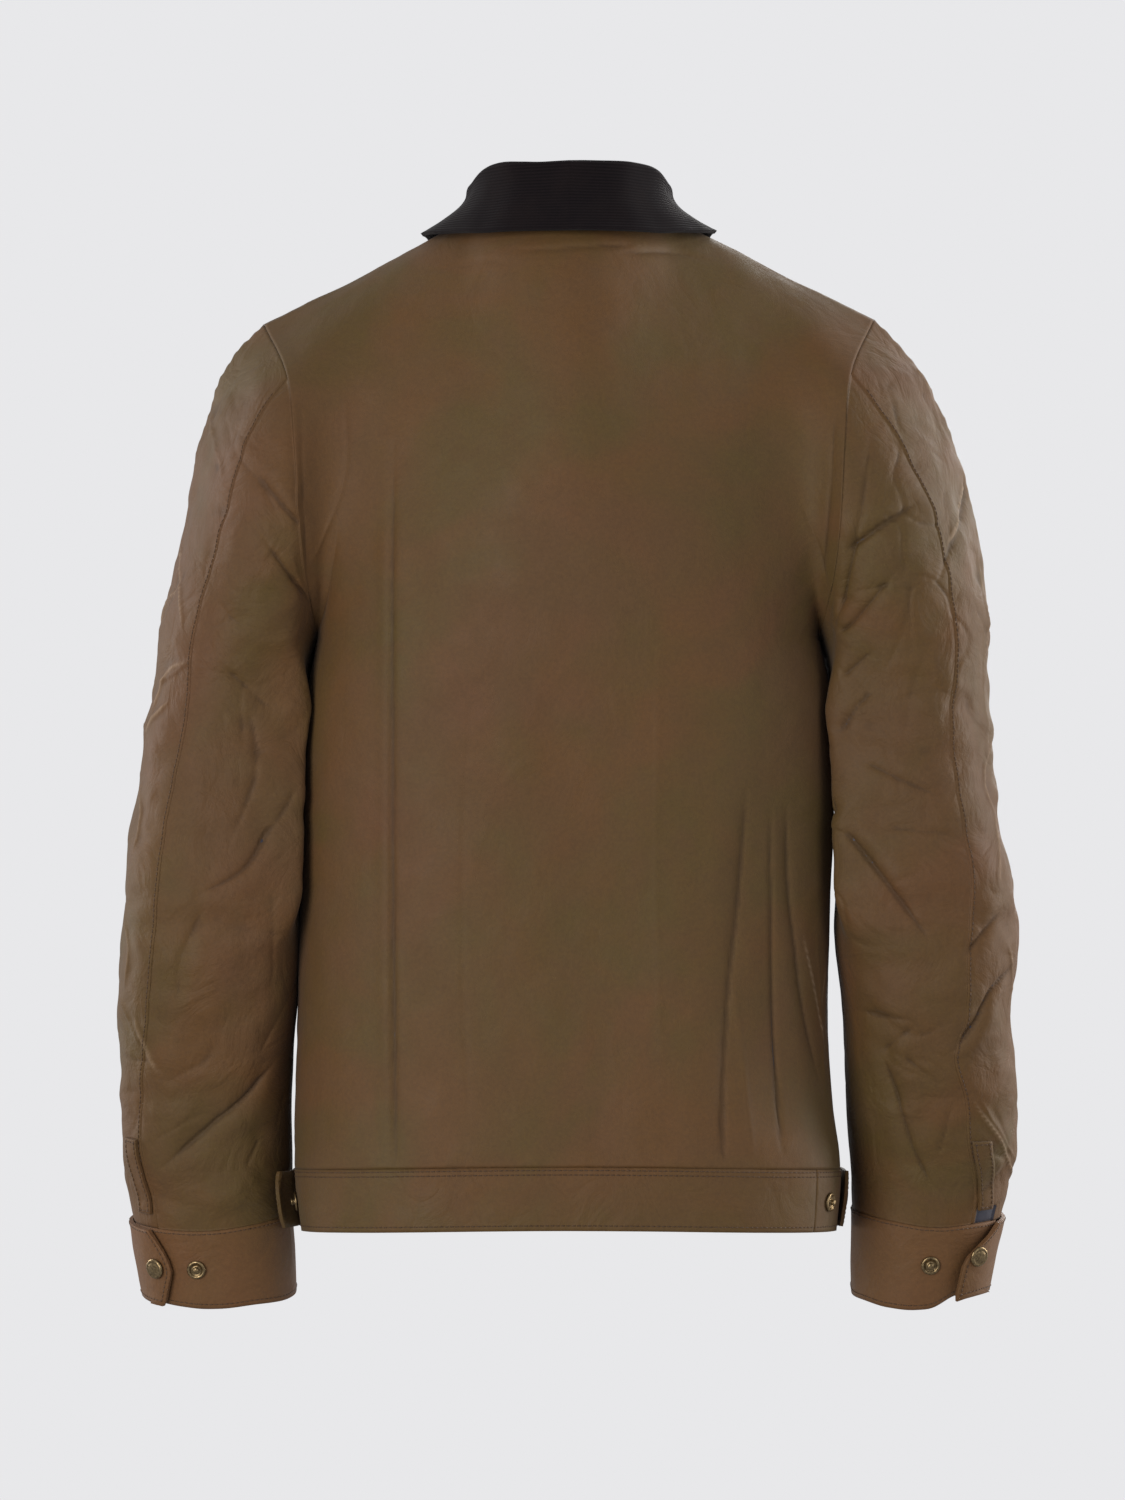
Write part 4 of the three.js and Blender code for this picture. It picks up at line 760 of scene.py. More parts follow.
def blurred(field, cells):
    kernel = bell(cells)
    for axis in (0, 1):
        pad = [(3 * cells, 3 * cells) if a == axis else (0, 0) for a in (0, 1)]
        padded = np.pad(field, pad, mode="edge")
        field = np.apply_along_axis(lambda r: np.convolve(r, kernel, mode="valid"), axis, padded)
    return field


def new_mesh(name, vertices, faces, material_index=None, materials=(), attributes=None, smooth_faces=True):
    mesh = bpy.data.meshes.new(name)
    mesh.vertices.add(len(vertices))
    mesh.vertices.foreach_set("co", (np.asarray(vertices) * MM).astype(np.float32).ravel())
    faces = np.asarray(faces)
    size = faces.shape[1]
    mesh.loops.add(faces.size)
    mesh.loops.foreach_set("vertex_index", faces.ravel().astype(np.int32))
    mesh.polygons.add(len(faces))
    mesh.polygons.foreach_set("loop_start", (np.arange(len(faces)) * size).astype(np.int32))
    mesh.update(calc_edges=True)
    for material in materials:
        mesh.materials.append(material)
    if material_index is not None:
        mesh.polygons.foreach_set("material_index", np.asarray(material_index, np.int32))
    mesh.polygons.foreach_set("use_smooth", np.ascontiguousarray(np.broadcast_to(smooth_faces, len(faces))))
    for key, values in (attributes or {}).items():
        layer = mesh.attributes.new(key, "FLOAT", "POINT")
        layer.data.foreach_set("value", np.asarray(values, np.float32).ravel())
    mesh.update()
    mesh.validate()
    obj = bpy.data.objects.new(name, mesh)
    bpy.context.collection.objects.link(obj)
    return obj


INNER_STEP = 3


def cloth(name, outside, way_out, thickness, materials, attributes=None, lined=None):
    """A closed thin wall: a fine grid of points outside, and every third row and column of it moved in.

    lined says which of the outer squares show the lining.
    """
    outside = hang(outside)
    a, b = outside.shape[:2]
    keep = [np.unique(np.append(np.arange(0, size, INNER_STEP), size - 1)) for size in (a, b)]
    near = [np.abs(np.arange(size)[:, None] - kept[None]).argmin(1) for size, kept in zip((a, b), keep)]
    inside = (outside - way_out * thickness)[np.ix_(*keep)]
    vertices = np.concatenate([outside.reshape(-1, 3), inside.reshape(-1, 3)])

    def squares(rows, cols):
        i, j = np.meshgrid(np.arange(rows - 1), np.arange(cols - 1), indexing="ij")
        k = (i * cols + j).ravel()
        return np.stack([k, k + cols, k + cols + 1, k, k + cols + 1, k + 1], 1).reshape(-1, 3)

    outer, inner = squares(a, b), squares(len(keep[0]), len(keep[1]))[:, ::-1] + a * b
    m, n = a // 2, b // 2
    face = np.cross(outside[m + 1, n] - outside[m, n], outside[m, n + 1] - outside[m, n])
    if face @ way_out[m, n] < 0:
        outer, inner = outer[:, ::-1], inner[:, ::-1]
    ring = [(i, 0) for i in range(a)] + [(a - 1, j) for j in range(1, b)]
    ring += [(i, b - 1) for i in range(a - 2, -1, -1)] + [(0, j) for j in range(b - 2, 0, -1)]
    i, j = np.array(ring).T
    here = i * b + j
    mate = a * b + near[0][i] * len(keep[1]) + near[1][j]
    following, next_mate = np.roll(here, -1), np.roll(mate, -1)
    moved = mate != next_mate
    closing = np.stack([following, next_mate, mate], 1)[moved]
    rim = np.concatenate([np.stack([here, following, mate], 1), closing])
    side = vertices[rim[a // 2]]
    rim_out = np.cross(side[1] - side[0], side[2] - side[0])
    if rim_out @ (side[0] - outside[m, n]) < 0:
        rim = rim[:, ::-1]
    index = np.zeros(len(outer)) if lined is None else np.repeat(lined.ravel(), 2).astype(float)
    index = np.concatenate([index, np.ones(len(inner)), np.zeros(len(rim))])
    given = (attributes or {}).items()
    both = {k: np.concatenate([v.ravel(), v[np.ix_(*keep)].ravel()]) for k, v in given}
    soft = np.append(np.ones(len(outer) + len(inner), bool), np.zeros(len(rim), bool))
    return new_mesh(name, vertices, np.concatenate([outer, inner, rim]), index, materials, both, soft)


# Each piece's cut: the width and length of its flat rectangle in metres, and its area in square metres.
CUT = dict(
    back=(0.537, 0.68, 0.29),
    front_left=(0.284, 0.682, 0.147),
    front_right=(0.284, 0.682, 0.147),
    front_placket=(0.059, 0.596, 0.0288),
    waistband_back=(0.393, 0.042, 0.0165),
    waistband_left=(0.331, 0.042, 0.0138),
    waistband_right=(0.305, 0.042, 0.0127),
    collar=(0.592, 0.096, 0.0355),
    sleeve_left_top=(0.322, 0.644, 0.127),
    sleeve_left_under=(0.288, 0.603, 0.086),
    sleeve_right_top=(0.32, 0.646, 0.133),
    sleeve_right_under=(0.288, 0.603, 0.084),
    vent_left=(0.014, 0.054, 0.0007),
    vent_right=(0.014, 0.053, 0.0007),
    cuff_left=(0.39, 0.062, 0.0213),
    cuff_right=(0.372, 0.07, 0.0204),
    waist_tab_left=(0.076, 0.043, 0.0029),
    waist_tab_right=(0.071, 0.041, 0.0027),
)


def hand_in(obj, nodes):
    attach(obj, "root")
    if nodes:
        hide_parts(*nodes)
    for node in nodes:
        if node in CUT:
            width, length, area = CUT[node]
    return obj


def srgb(r, g, b):
    """A colour as the materials take it, from its sRGB bytes."""
    parts = [c / 255 for c in (r, g, b)]
    return tuple(((c + 0.055) / 1.055) ** 2.4 if c > 0.04 else c / 12.92 for c in parts) + (1,)


class Nodes:
    """Builds a material's nodes, one call a node."""

    def __init__(self, name):
        self.material = bpy.data.materials.new(name)
        self.material.use_nodes = True
        self.tree = self.material.node_tree
        self.shader = self.tree.nodes["Principled BSDF"]
        self.coords = self.add("ShaderNodeTexCoord")

    def add(self, kind, links=None, **values):
        node = self.tree.nodes.new(kind)
        for key, value in values.items():
            if key in node.inputs:
                node.inputs[key].default_value = value
            else:
                setattr(node, key, value)
        for socket, source in (links or {}).items():
            self.link(source, node.inputs[socket])
        return node

    def link(self, source, socket):
        self.tree.links.new(source, socket)

    def feed(self, socket, value):
        """Gives an input a value, or links it to another node's output."""
        if hasattr(value, "is_linked"):
            self.link(value, socket)
        else:
            socket.default_value = value

    def shade(self, **inputs):
        """The shader's inputs by name, with _ for a space."""
        for key, value in inputs.items():
            self.feed(self.shader.inputs[key.replace("_", " ")], value)
        return self.material

    def noise(self, scale, detail=2.0, rough=0.5, distortion=0.0, source=None):
        links = {"Vector": source or self.coords.outputs["Object"]}
        looks = dict(Scale=scale, Detail=detail, Roughness=rough, Distortion=distortion)
        return self.add("ShaderNodeTexNoise", links, **looks).outputs["Fac"]

    def shifted(self, shift):
        """The object's coordinates, shifted along x by metres."""
        moved = self.add("ShaderNodeVectorMath", operation="ADD")
        self.link(self.coords.outputs["Object"], moved.inputs[0])
        moved.inputs[1].default_value = (shift, 0, 0)
        return moved.outputs[0]

    def ramp(self, source, low, high, to_low=0.0, to_high=1.0):
        limits = {"From Min": low, "From Max": high, "To Min": to_low, "To Max": to_high}
        return self.add("ShaderNodeMapRange", {"Value": source}, **limits).outputs["Result"]

    def mix(self, factor, a, b, blend="MIX"):
        node = self.add("ShaderNodeMix", data_type="RGBA", blend_type=blend)
        sockets = {s.identifier: s for s in node.inputs}
        for key, value in (("Factor_Float", factor), ("A_Color", a), ("B_Color", b)):
            self.feed(sockets[key], value)
        return next(s for s in node.outputs if s.identifier == "Result_Color")

    def maths(self, operation, a, b=0.0):
        node = self.add("ShaderNodeMath", operation=operation)
        for socket, value in zip(node.inputs, (a, b)):
            self.feed(socket, value)
        return node.outputs[0]

    def attribute(self, name):
        return self.add("ShaderNodeAttribute", attribute_name=name).outputs["Fac"]

    def bump(self, height, distance, strength=1.0, normal=None):
        node = self.add("ShaderNodeBump", {"Height": height}, Distance=distance, Strength=strength)
        if normal:
            self.link(normal, node.inputs["Normal"])
        return node.outputs["Normal"]


def waxed_cotton():
    n = Nodes("waxed_cotton")
    patches = n.noise(9, 3, 0.55, 0.6)
    blotches = n.noise(34, 4, 0.6, 0.3)
    fine = n.noise(420, 3, 0.6)
    reddish = n.noise(6.5, 3, 0.5, 0.4, n.shifted(3.1))
    base = n.mix(n.ramp(patches, 0.4, 0.6), srgb(98, 68, 36), srgb(89, 69, 34))
    base = n.mix(n.ramp(reddish, 0.5, 0.66, 0, 0.42), base, srgb(101, 66, 45))
    base = n.mix(n.ramp(blotches, 0.42, 0.66, 0, 0.4), base, srgb(93, 68, 44))
    # A lighter, more orange colour, used at half strength on the cuffs.
    base = n.mix(n.attribute("bleached"), base, srgb(116, 78, 47))
    base = n.mix(n.ramp(fine, 0.3, 0.7, 0, 0.25), base, srgb(62, 45, 30))
    # Pale lines: partly wax worn pale, partly a painted highlight on the ridges.
    wear_and_highlight = n.attribute("wear_and_highlight")
    base = n.mix(n.ramp(wear_and_highlight, 0.05, 1.0, 0, 0.72), base, srgb(178, 152, 124))
    # Painted shade in the creases, where the cloth lies low.
    trough = n.attribute("trough")
    base = n.mix(n.ramp(trough, 0.1, 1.0, 0, 0.38), base, srgb(48, 33, 20))
    rough = n.ramp(blotches, 0.3, 0.7, 0.56, 0.7)
    crumple = n.noise(26, 5, 0.55, 0.9)
    ridged = n.maths("ABSOLUTE", n.maths("SUBTRACT", crumple, 0.5))
    normal = n.bump(ridged, 0.006, 0.28)
    n.link(n.attribute("crush"), normal.node.inputs["Strength"])
    normal = n.bump(n.noise(1500, 1, 0.5), 0.0003, 0.5, normal)
    n.shade(Base_Color=base, Roughness=rough, Normal=normal)
    return n.shade(Specular_IOR_Level=0.24, Sheen_Weight=0.05, Sheen_Roughness=0.5)


def lining():
    n = Nodes("lining")
    base = n.mix(n.ramp(n.noise(60, 3), 0.3, 0.7), srgb(29, 28, 43), srgb(36, 35, 52))
    crumple = n.bump(n.noise(40, 4), 0.003, 0.3)
    return n.shade(Base_Color=base, Roughness=0.5, Sheen_Weight=0.1, Normal=crumple)


WALE = 2.2


def corduroy():
    n = Nodes("corduroy")
    wave = n.maths("SINE", n.maths("MULTIPLY", n.attribute("wale"), 2 * math.pi / WALE))
    ridge = n.ramp(wave, -1, 1)
    worn = n.noise(45, 4, 0.6)
    pile = n.noise(900, 2, 0.6)
    base = n.mix(ridge, srgb(17, 13, 15), srgb(27, 21, 23))
    base = n.mix(n.ramp(worn, 0.42, 0.7, 0, 0.35), base, srgb(34, 26, 25))
    base = n.mix(n.ramp(pile, 0.35, 0.65, 0, 0.3), base, srgb(17, 13, 15))
    height = n.maths("ADD", ridge, n.maths("MULTIPLY", pile, 0.4))
    n.shade(Base_Color=base, Roughness=0.9, Normal=n.bump(height, 0.0006, 0.5))
    return n.shade(Specular_IOR_Level=0.1, Sheen_Weight=0.06, Sheen_Roughness=0.4)


def old_brass():
    n = Nodes("old_brass")
    tarnish = n.noise(700, 3, 0.6)
    base = n.mix(n.ramp(tarnish, 0.35, 0.65), srgb(96, 80, 58), srgb(156, 134, 98))
    rough = n.ramp(tarnish, 0.3, 0.7, 0.42, 0.28)
    return n.shade(Base_Color=base, Metallic=0.95, Roughness=rough)


def thread():
    n = Nodes("thread")
    base = n.mix(n.ramp(n.noise(600, 2), 0.3, 0.7), srgb(70, 50, 33), srgb(86, 62, 42))
    return n.shade(Base_Color=base, Roughness=0.6)


WAXED = waxed_cotton()
LINING = lining()
CORD = corduroy()
BRASS = old_brass()
THREAD = thread()
SHELL = (WAXED, LINING)


def from_edges(grid):
    """How far each point of a grid is from its four edges, in millimetres."""
    across = np.linalg.norm(np.diff(grid, axis=0), axis=-1)
    up = np.linalg.norm(np.diff(grid, axis=1), axis=-1)
    first = np.concatenate([np.zeros((1, grid.shape[1])), np.cumsum(across, 0)])
    low = np.concatenate([np.zeros((grid.shape[0], 1)), np.cumsum(up, 1)], 1)
    return first, first[-1:] - first, low, low[:, -1:] - low


def groove(d, grid, deep=0.3):
    """A seam's uneven dip at the edge of a panel, with the cloth swelling and puckering beside it."""
    pull = 0.6 + 0.4 * noise(grid, 16, 13)
    pucker = 0.16 * noise(grid, 6, 14) * hump(d, 5)
    return deep * pull * (0.2 * hump(d - 4.8, 2.6) - hump(d, 1.1)) + pucker


def crease_shade(height, cells=3):
    """Painted shade: how dark the cloth is coloured where it lies low in creases."""
    return smooth(blurred(height, cells) - height, 0.22, 1.1)


GAP = 0.05
QUARTER_LENGTH = 250
COLUMN_LENGTH = 300
CAP_START = 0.0004
gap_share = GAP / QUARTER_LENGTH
gap_top = GAP / COLUMN_LENGTH


def armhole_normal(back, t):
    t = np.clip(t, 0, 1)
    hole = ARMHOLE_BACK if back else ARMHOLE_FRONT
    return unit(stack(*(along(hole, "t", c, t) for c in ("nx", "ny", "nz"))))


def shared(t):
    return smooth(t, 0.1, 0.32)


# More columns than this are a whole panel, which has the turn at the neck point in it.
WHOLE_PANEL = 80


def rounded_across(grid, cells):
    """The grid with sharp turns between its columns rounded off."""
    reach = 3 * cells
    first, last = 2 * grid[:1] - grid[reach:0:-1], 2 * grid[-1:] - grid[-2 : -reach - 2 : -1]
    padded = np.concatenate([first, grid, last])
    kernel = bell(cells)
    return np.apply_along_axis(lambda r: np.convolve(r, kernel, mode="valid"), 0, padded)


def body_surface(back, c, v):
    """The body's smooth points and the way out of the cloth there."""
    grid = body_grid(back, c, v)
    share, up = np.abs(c)[:, None], v[None, :]
    if len(c) > WHOLE_PANEL:
        rounded = smooth(up, 1.03, 1.3) * (1 - smooth(up, 1.93, 1.99))
        rounded = rounded * hump(share - NECK_SHARE, 0.2)
        grid = grid + (rounded_across(grid, 9) - grid) * rounded[..., None]
    n = normals(grid) * (-1 if back else 1)
    seam = armhole_normal(back, v - 1)[None] * np.where(c < 0, -1, 1)[:, None, None] ** np.array([1, 2, 2])
    blend = smooth(share, 0.9, 0.99) * shared(np.clip(up - 1, 0, 1)) * (up > 1)
    n = unit(n + (seam - n) * blend[..., None])
    on_seam = smooth(up, 1.88, 1.99) * smooth(share, NECK_SHARE * 0.7, NECK_SHARE * 0.98)
    n[..., 1] *= 1 - on_seam
    n[..., 1] *= np.where(up <= 1, 1 - smooth(share, 0.97, 0.995), 1)
    return grid, unit(n)


def sleeve_surface(side, a, v):
    grid = sleeve_grid(side, a, v)
    n = normals(grid)
    turned = np.mod(a, 360)
    back = turned <= 180
    t = np.where(back, turned, 360 - turned) / 180
    seam = np.where(back[..., None], armhole_normal(True, t), armhole_normal(False, t))
    seam[..., 1] *= 1 - smooth(t, 0.88, 0.99)
    seam = unit(seam)
    blend = (1 - smooth(v, 0.02, 0.12))[None] * shared(t) * (v < 1)[None]
    n = unit(n + (seam - n) * blend[..., None])
    mirror = mirror_of(SLEEVES[side])
    return grid * mirror, n * mirror


def columns(step):
    """Shares of a half panel, with a column on the neck point."""
    across = int(QUARTER_LENGTH * NECK_SHARE / step)
    beyond = int(QUARTER_LENGTH * (1 - NECK_SHARE) / step)
    outer = np.linspace(NECK_SHARE, 1 - gap_share, beyond)[1:]
    return np.concatenate([np.linspace(0, NECK_SHARE, across), outer])


# How fine the surfaces are: steps in millimetres, and numbers of rows and columns.
BACK_STEP, FRONT_STEP, BAND_STEP = 2.0, 2.5, 2.4
BELOW_ROWS, ABOVE_ROWS = 178, 148
CAP_ROWS, TUBE_ROWS = 132, 228
TRACING_COLUMNS = 140
SLEEVE_COLUMNS = dict(top=150, under=134)
PLACKET_COLUMNS = 22
BAND_ROWS = 20
VENT_COLUMNS, VENT_ROWS = 9, 28
CUFF_COLUMNS, CUFF_ROWS = 190, 24
TAB_COLUMNS, TAB_ROWS = 40, 18
COLLAR_COLUMNS = 241
LEAF_ROWS, ROLL_ROWS, STAND_ROWS = 30, 12, 22

half_shares = columns(BACK_STEP)
front_shares = columns(FRONT_STEP)
below = np.linspace(gap_top, 1, BELOW_ROWS)
body_rows = np.concatenate([below, np.linspace(1, 2 - gap_top, ABOVE_ROWS)[1:]])
cap_rows = np.linspace(CAP_START, 1, CAP_ROWS)
tube_rows = np.linspace(1, 2 - GAP / TUBE_LENGTH, TUBE_ROWS)[1:]
sleeve_rows = np.concatenate([cap_rows, tube_rows])

whole = np.concatenate([-half_shares[:0:-1], half_shares])
LINES = dict(body=[])
RIMS = dict(body=traced(BACK_RIMS, *body_surface(True, whole, body_rows), "back"))
for is_back, found in ((True, BACK_CREASES), (False, FRONT_CREASES)):
    seen_from = "back" if is_back else "front"
    LINES["body"] += traced(found, *body_surface(is_back, whole, body_rows), seen_from)
for arm_side, behind, ahead, beside, wear_and_highlight_lines in (
    ("left", LEFT_SLEEVE_CREASES, LEFT_SLEEVE_FRONT, LEFT_SLEEVE_SIDE, LEFT_SLEEVE_RIMS),
    ("right", RIGHT_SLEEVE_CREASES, RIGHT_SLEEVE_FRONT, RIGHT_SLEEVE_SIDE, RIGHT_SLEEVE_RIMS),
):
    round_arm = np.linspace(-60, 300, TRACING_COLUMNS)[:, None] + np.zeros(len(sleeve_rows))
    tube = sleeve_surface(arm_side, round_arm, sleeve_rows)
    RIMS[arm_side] = traced(wear_and_highlight_lines, *tube, "back")
    LINES[arm_side] = traced(behind, *tube, "back") + traced(ahead, *tube, "front")
    LINES[arm_side] += traced(beside, *tube, "side")
    LINES[arm_side] += [dict(rim, **RIDGE_UNDER_PALE_LINE) for rim in RIMS[arm_side]]


def body_relief(back, grid, c, v):
    """How far the body's cloth stands off its smooth form, in millimetres."""
    share, up = np.abs(c)[:, None], v[None, :]
    t = np.clip(up - 1, 0, 1)
    to_hole = (1 - share) * QUARTER_LENGTH
    calm = smooth(up, 0, 0.05) * (1 - smooth(up, 1.93, 1.995)) * smooth(to_hole, 0, 14)
    waves = 1.5 * noise(grid, 62, 1, 0.5) + 0.7 * noise(grid, 27, 2, 0.7) + 0.28 * noise(grid, 11, 3)
    creases = crease_height(grid, LINES["body"])
    near_hole = hump(to_hole, 16) * (up > 1)
    pulled = sum(crease_height(grid[share[:, 0] > 0.8], LINES[s]) for s in ("left", "right"))
    from_sleeve = np.zeros_like(creases)
    from_sleeve[share[:, 0] > 0.8] = pulled
    at_arm = 1 - (1 - shared(t)) * smooth(share, 0.85, 0.97) * smooth(up, 0.9, 1)
    at_edges = smooth(up, 0, 0.03) * (1 - smooth(up, 1.9, 1.99) * smooth(share, 0.3, 0.4))
    gathers = 0.5 * noise(grid, 8, 4, 0.1) * hump(up * BODY_LENGTH, 15)
    folds = (creases + from_sleeve * near_hole) * at_arm * at_edges
    return waves * calm + folds + gathers * smooth(up, 0, 0.02)


def sleeve_relief(side, grid, a, v):
    up = v[None, :]
    turned = np.mod(a, 360)
    t = np.where(turned <= 180, turned, 360 - turned) / 180
    inside = smooth(np.cos(np.radians(a)), 0.55, 0.85)
    calm = smooth(up, 0.01, 0.16) * (1 - smooth(up, 1.93, 1.995))
    waves = 2.2 * noise(grid, 44, 5, 1.25) + 1.5 * noise(grid, 22, 6, 1.5) + 0.5 * noise(grid, 10, 7)
    bent = grid + 14 * stack(noise(grid, 37, 15), noise(grid, 37, 16), noise(grid, 37, 17))
    where = smooth(noise(grid, 48, 18), -0.15, 0.45)
    waves = waves - 0.8 * where * hump(noise(bent, 34, 19, 1.3), 0.09)
    creases = crease_height(grid, LINES[side])
    close = hump(up * CAP_LENGTH, 16)
    shared_here = 1 - (1 - shared(t)) * (1 - smooth(up, 0.02, 0.3))
    lowest = 1 - smooth(up, 1.95, 1.999)
    at_cuff = hump((2 - up) * TUBE_LENGTH, 14) * lowest
    gathers = 0.6 * noise(grid, 9, 8, 0.12) * at_cuff
    from_body = crease_height(grid, LINES["body"]) * close
    return (waves * calm + (creases * lowest + from_body) * shared_here + gathers) * (1 - 0.8 * inside)


def pale_wear_and_highlight(grid, wear_and_highlight_paths):
    """How pale thin lines are painted, from 0 to 1: partly wax worn pale, partly a painted highlight."""
    pale = np.zeros(grid.shape[:2])
    for rim in wear_and_highlight_paths:
        line = rim["line"]
        box = ((grid > line.min(0) - 8) & (grid < line.max(0) + 8)).all(-1)
        if box.any():
            off = np.linalg.norm(grid[box][:, None] - line[None], axis=-1)
            k = off.argmin(1) / (len(line) - 1)
            strength = rim["shine"] * np.minimum(1, np.minimum(k, 1 - k) * 4 + 0.15)
            apart = off.min(1) / rim["width"]
            fade = 0.7 * np.exp(-(apart**2)) + 0.15 * np.exp(-apart / 2)
            pale[box] = np.maximum(pale[box], strength * fade)
    return pale


def panel(
    name, surface, height, thickness, dips, materials=SHELL, wear_and_highlight_paths=(), crush=0.5, bleached=0.0, lined=None
):
    """One cut piece: its smooth surface, moved by its relief. dips says how deep a seam dips at each edge."""
    grid, n = surface
    edges = from_edges(grid)
    relief = height + sum(groove(edges[k], grid) * deep for k, deep in dips.items())
    points = grid + n * relief[..., None]
    # The pale lines are wax worn pale with a painted highlight on them.
    # Where the cloth lies low in creases it gets painted shade.
    looks = dict(wear_and_highlight=pale_wear_and_highlight(grid, wear_and_highlight_paths), trough=crease_shade(relief))
    looks.update(crush=np.full(relief.shape, crush), bleached=np.full(relief.shape, bleached))
    obj = cloth(name, points, n, thickness, materials, looks, lined)
    hand_in(obj, [name])
    SEWN[name] = (points, n)
    SMOOTH[name] = grid
    return obj


SEWN = {}
SMOOTH = {}

back_surface = body_surface(True, whole, body_rows)
relief = body_relief(True, back_surface[0], whole, body_rows)
side_dip = (1 - 0.8 * smooth(body_rows, 0.95, 1.1))[None]
dips = {0: side_dip, 1: side_dip, 2: 1, 3: 1}
panel("back", back_surface, relief, CLOTH, dips, wear_and_highlight_paths=RIMS["body"], crush=0.2)
left_shares = np.maximum(front_shares, gap_share)
for front_side, shares, outer_edge in (("left", left_shares, 1), ("right", -left_shares[::-1], 0)):
    surface = body_surface(False, shares, body_rows)
    relief = body_relief(False, surface[0], shares, body_rows)
    dips = {outer_edge: side_dip, 2: 1, 3: 1}
    panel("front_" + front_side, surface, relief, CLOTH, dips, crush=0.14)

placket_shares = np.linspace(-PLACKET_SHARE, PLACKET_SHARE, PLACKET_COLUMNS)
placket_rows = np.minimum(body_rows, 2 - 4 / COLUMN_LENGTH)
placket_rows = placket_rows[np.append(True, np.diff(placket_rows) > 1e-6)]
surface = body_surface(False, placket_shares, placket_rows)
relief = body_relief(False, surface[0], placket_shares, placket_rows)
panel("front_placket", surface, relief + LAY + STRIP, STRIP, {}, materials=(WAXED, WAXED), crush=0.2)

BAND_BACK_LEFT = 0.86
BAND_BACK_RIGHT = -0.69
BAND_LAP = 0.13
BAND_LIFT = 0.4
BANDS = dict(
    waistband_back=(BAND_BACK_RIGHT + gap_share, BAND_BACK_LEFT - gap_share),
    waistband_left=(BAND_BACK_LEFT + gap_share, 2 + BAND_LAP),
    waistband_right=(-2 + BAND_LAP, BAND_BACK_RIGHT - gap_share),
)


def band_surface(u, k):
    grid = band_grid(u, k)
    return grid, normals(grid)


def band_relief(grid, u, k):
    lap = (BAND + LAY) * smooth(u, 2 - BAND_LAP * 1.9, 2 - BAND_LAP * 1.15)
    return BAND_LIFT + lap[:, None] + 0.5 * noise(grid, 34, 9) + 0.2 * noise(grid, 12, 10) + 0 * k[None]


for band, (start, end) in BANDS.items():
    u = np.linspace(start, end, int((end - start) * QUARTER_LENGTH / BAND_STEP))
    k = np.linspace(GAP / BAND_LENGTH, 1, BAND_ROWS)
    surface = band_surface(u, k)
    edge = {2: 1, 0: 1, 1: 1} if band == "waistband_back" else {2: 1}
    panel(band, surface, band_relief(surface[0], u, k), BAND, edge, materials=(WAXED, WAXED))

# The sleeves, vents and cuffs.
ARM_RADIUS = 58
gap_angle = math.degrees(GAP / ARM_RADIUS)
VENT = dict(top_v=1.82, bottom_v=1.97, from_seam=2.5, width=14, lay=0.9)
VENT_GAP = dict(from_v=1.966, middle=15, half=11, depth=1.2)
SLEEVE_DIPS = {0: 1, 1: 1, 2: 0.2, 3: 1}
CUFF_LIFT = 0.5
CUFF_LAP_FROM = -168
CUFF_LAP_RAISED = -186
CUFF_TOP_GAP = 0.15 / CUFF_HEIGHT


def sleeve_piece(side, part, count):
    """The top piece runs from the elbow seam over the arm to the front seam, the under piece inside it."""
    name = f"sleeve_{side}_{part}"
    seam = along(ELBOW_SEAM, "v", side, sleeve_rows)
    if part == "top":
        first, last = seam + gap_angle, 0 * seam + FRONT_SEAM_ANGLE + 360 - gap_angle
    else:
        first, last = 0 * seam + FRONT_SEAM_ANGLE + gap_angle, seam - gap_angle
    a = first[None] + (last - first)[None] * np.linspace(0, 1, count)[:, None]
    surface = sleeve_surface(side, a, sleeve_rows)
    relief = sleeve_relief(side, surface[0], a, sleeve_rows)
    lined = None
    if name == "sleeve_right_top":
        beside_seam = np.abs(a - seam[None] - VENT_GAP["middle"]) < VENT_GAP["half"]
        open_vent = beside_seam & (sleeve_rows[None] > VENT_GAP["from_v"])
        relief = relief - VENT_GAP["depth"] * open_vent
        lined = open_vent[:-1, :-1]
    panel(name, surface, relief, CLOTH, SLEEVE_DIPS, wear_and_highlight_paths=RIMS[side], crush=0.6, lined=lined)


def cuff_lift(arm, a):
    lapped = smooth(-a, -CUFF_LAP_FROM, -CUFF_LAP_RAISED)
    flare = arm["flare"] * smooth(-a, -CUFF_LAP_RAISED, 360 - arm["cap"]) ** 2
    return CUFF_LIFT + (BAND + LAY) * lapped + flare


def cuff_end(arm, k):
    middle = 0.55
    turned = np.sin(np.pi / 2 * np.clip(k / middle, 0, 1))
    upper = arm["end_top"] + (arm["end_middle"] - arm["end_top"]) * turned
    lower = arm["end_middle"] + (arm["end_bottom"] - arm["end_middle"]) * (k - middle) / (1 - middle)
    return np.where(k < middle, upper, lower)


def cuff_surface(side, a, k):
    """a and k are arrays of one shape. The way out is worked out from points close by."""
    arm = SLEEVES[side]

    def shell(aa, kk):
        z = CUFF_TOP_Z - CUFF_HEIGHT * kk
        here = arm_ring(side, aa, z)
        across = arm_ring(side, aa + 0.5, z) - arm_ring(side, aa - 0.5, z)
        upwards = arm_ring(side, aa, z + 0.5) - arm_ring(side, aa, z - 0.5)
        return here - unit(np.cross(across, upwards)) * cuff_lift(arm, aa)[..., None]

    p = shell(a, k)
    n = unit(np.cross(shell(a + 0.5, k) - shell(a - 0.5, k), shell(a, k + 0.01) - shell(a, k - 0.01)))
    mirror = mirror_of(arm)
    return p * mirror, n * mirror


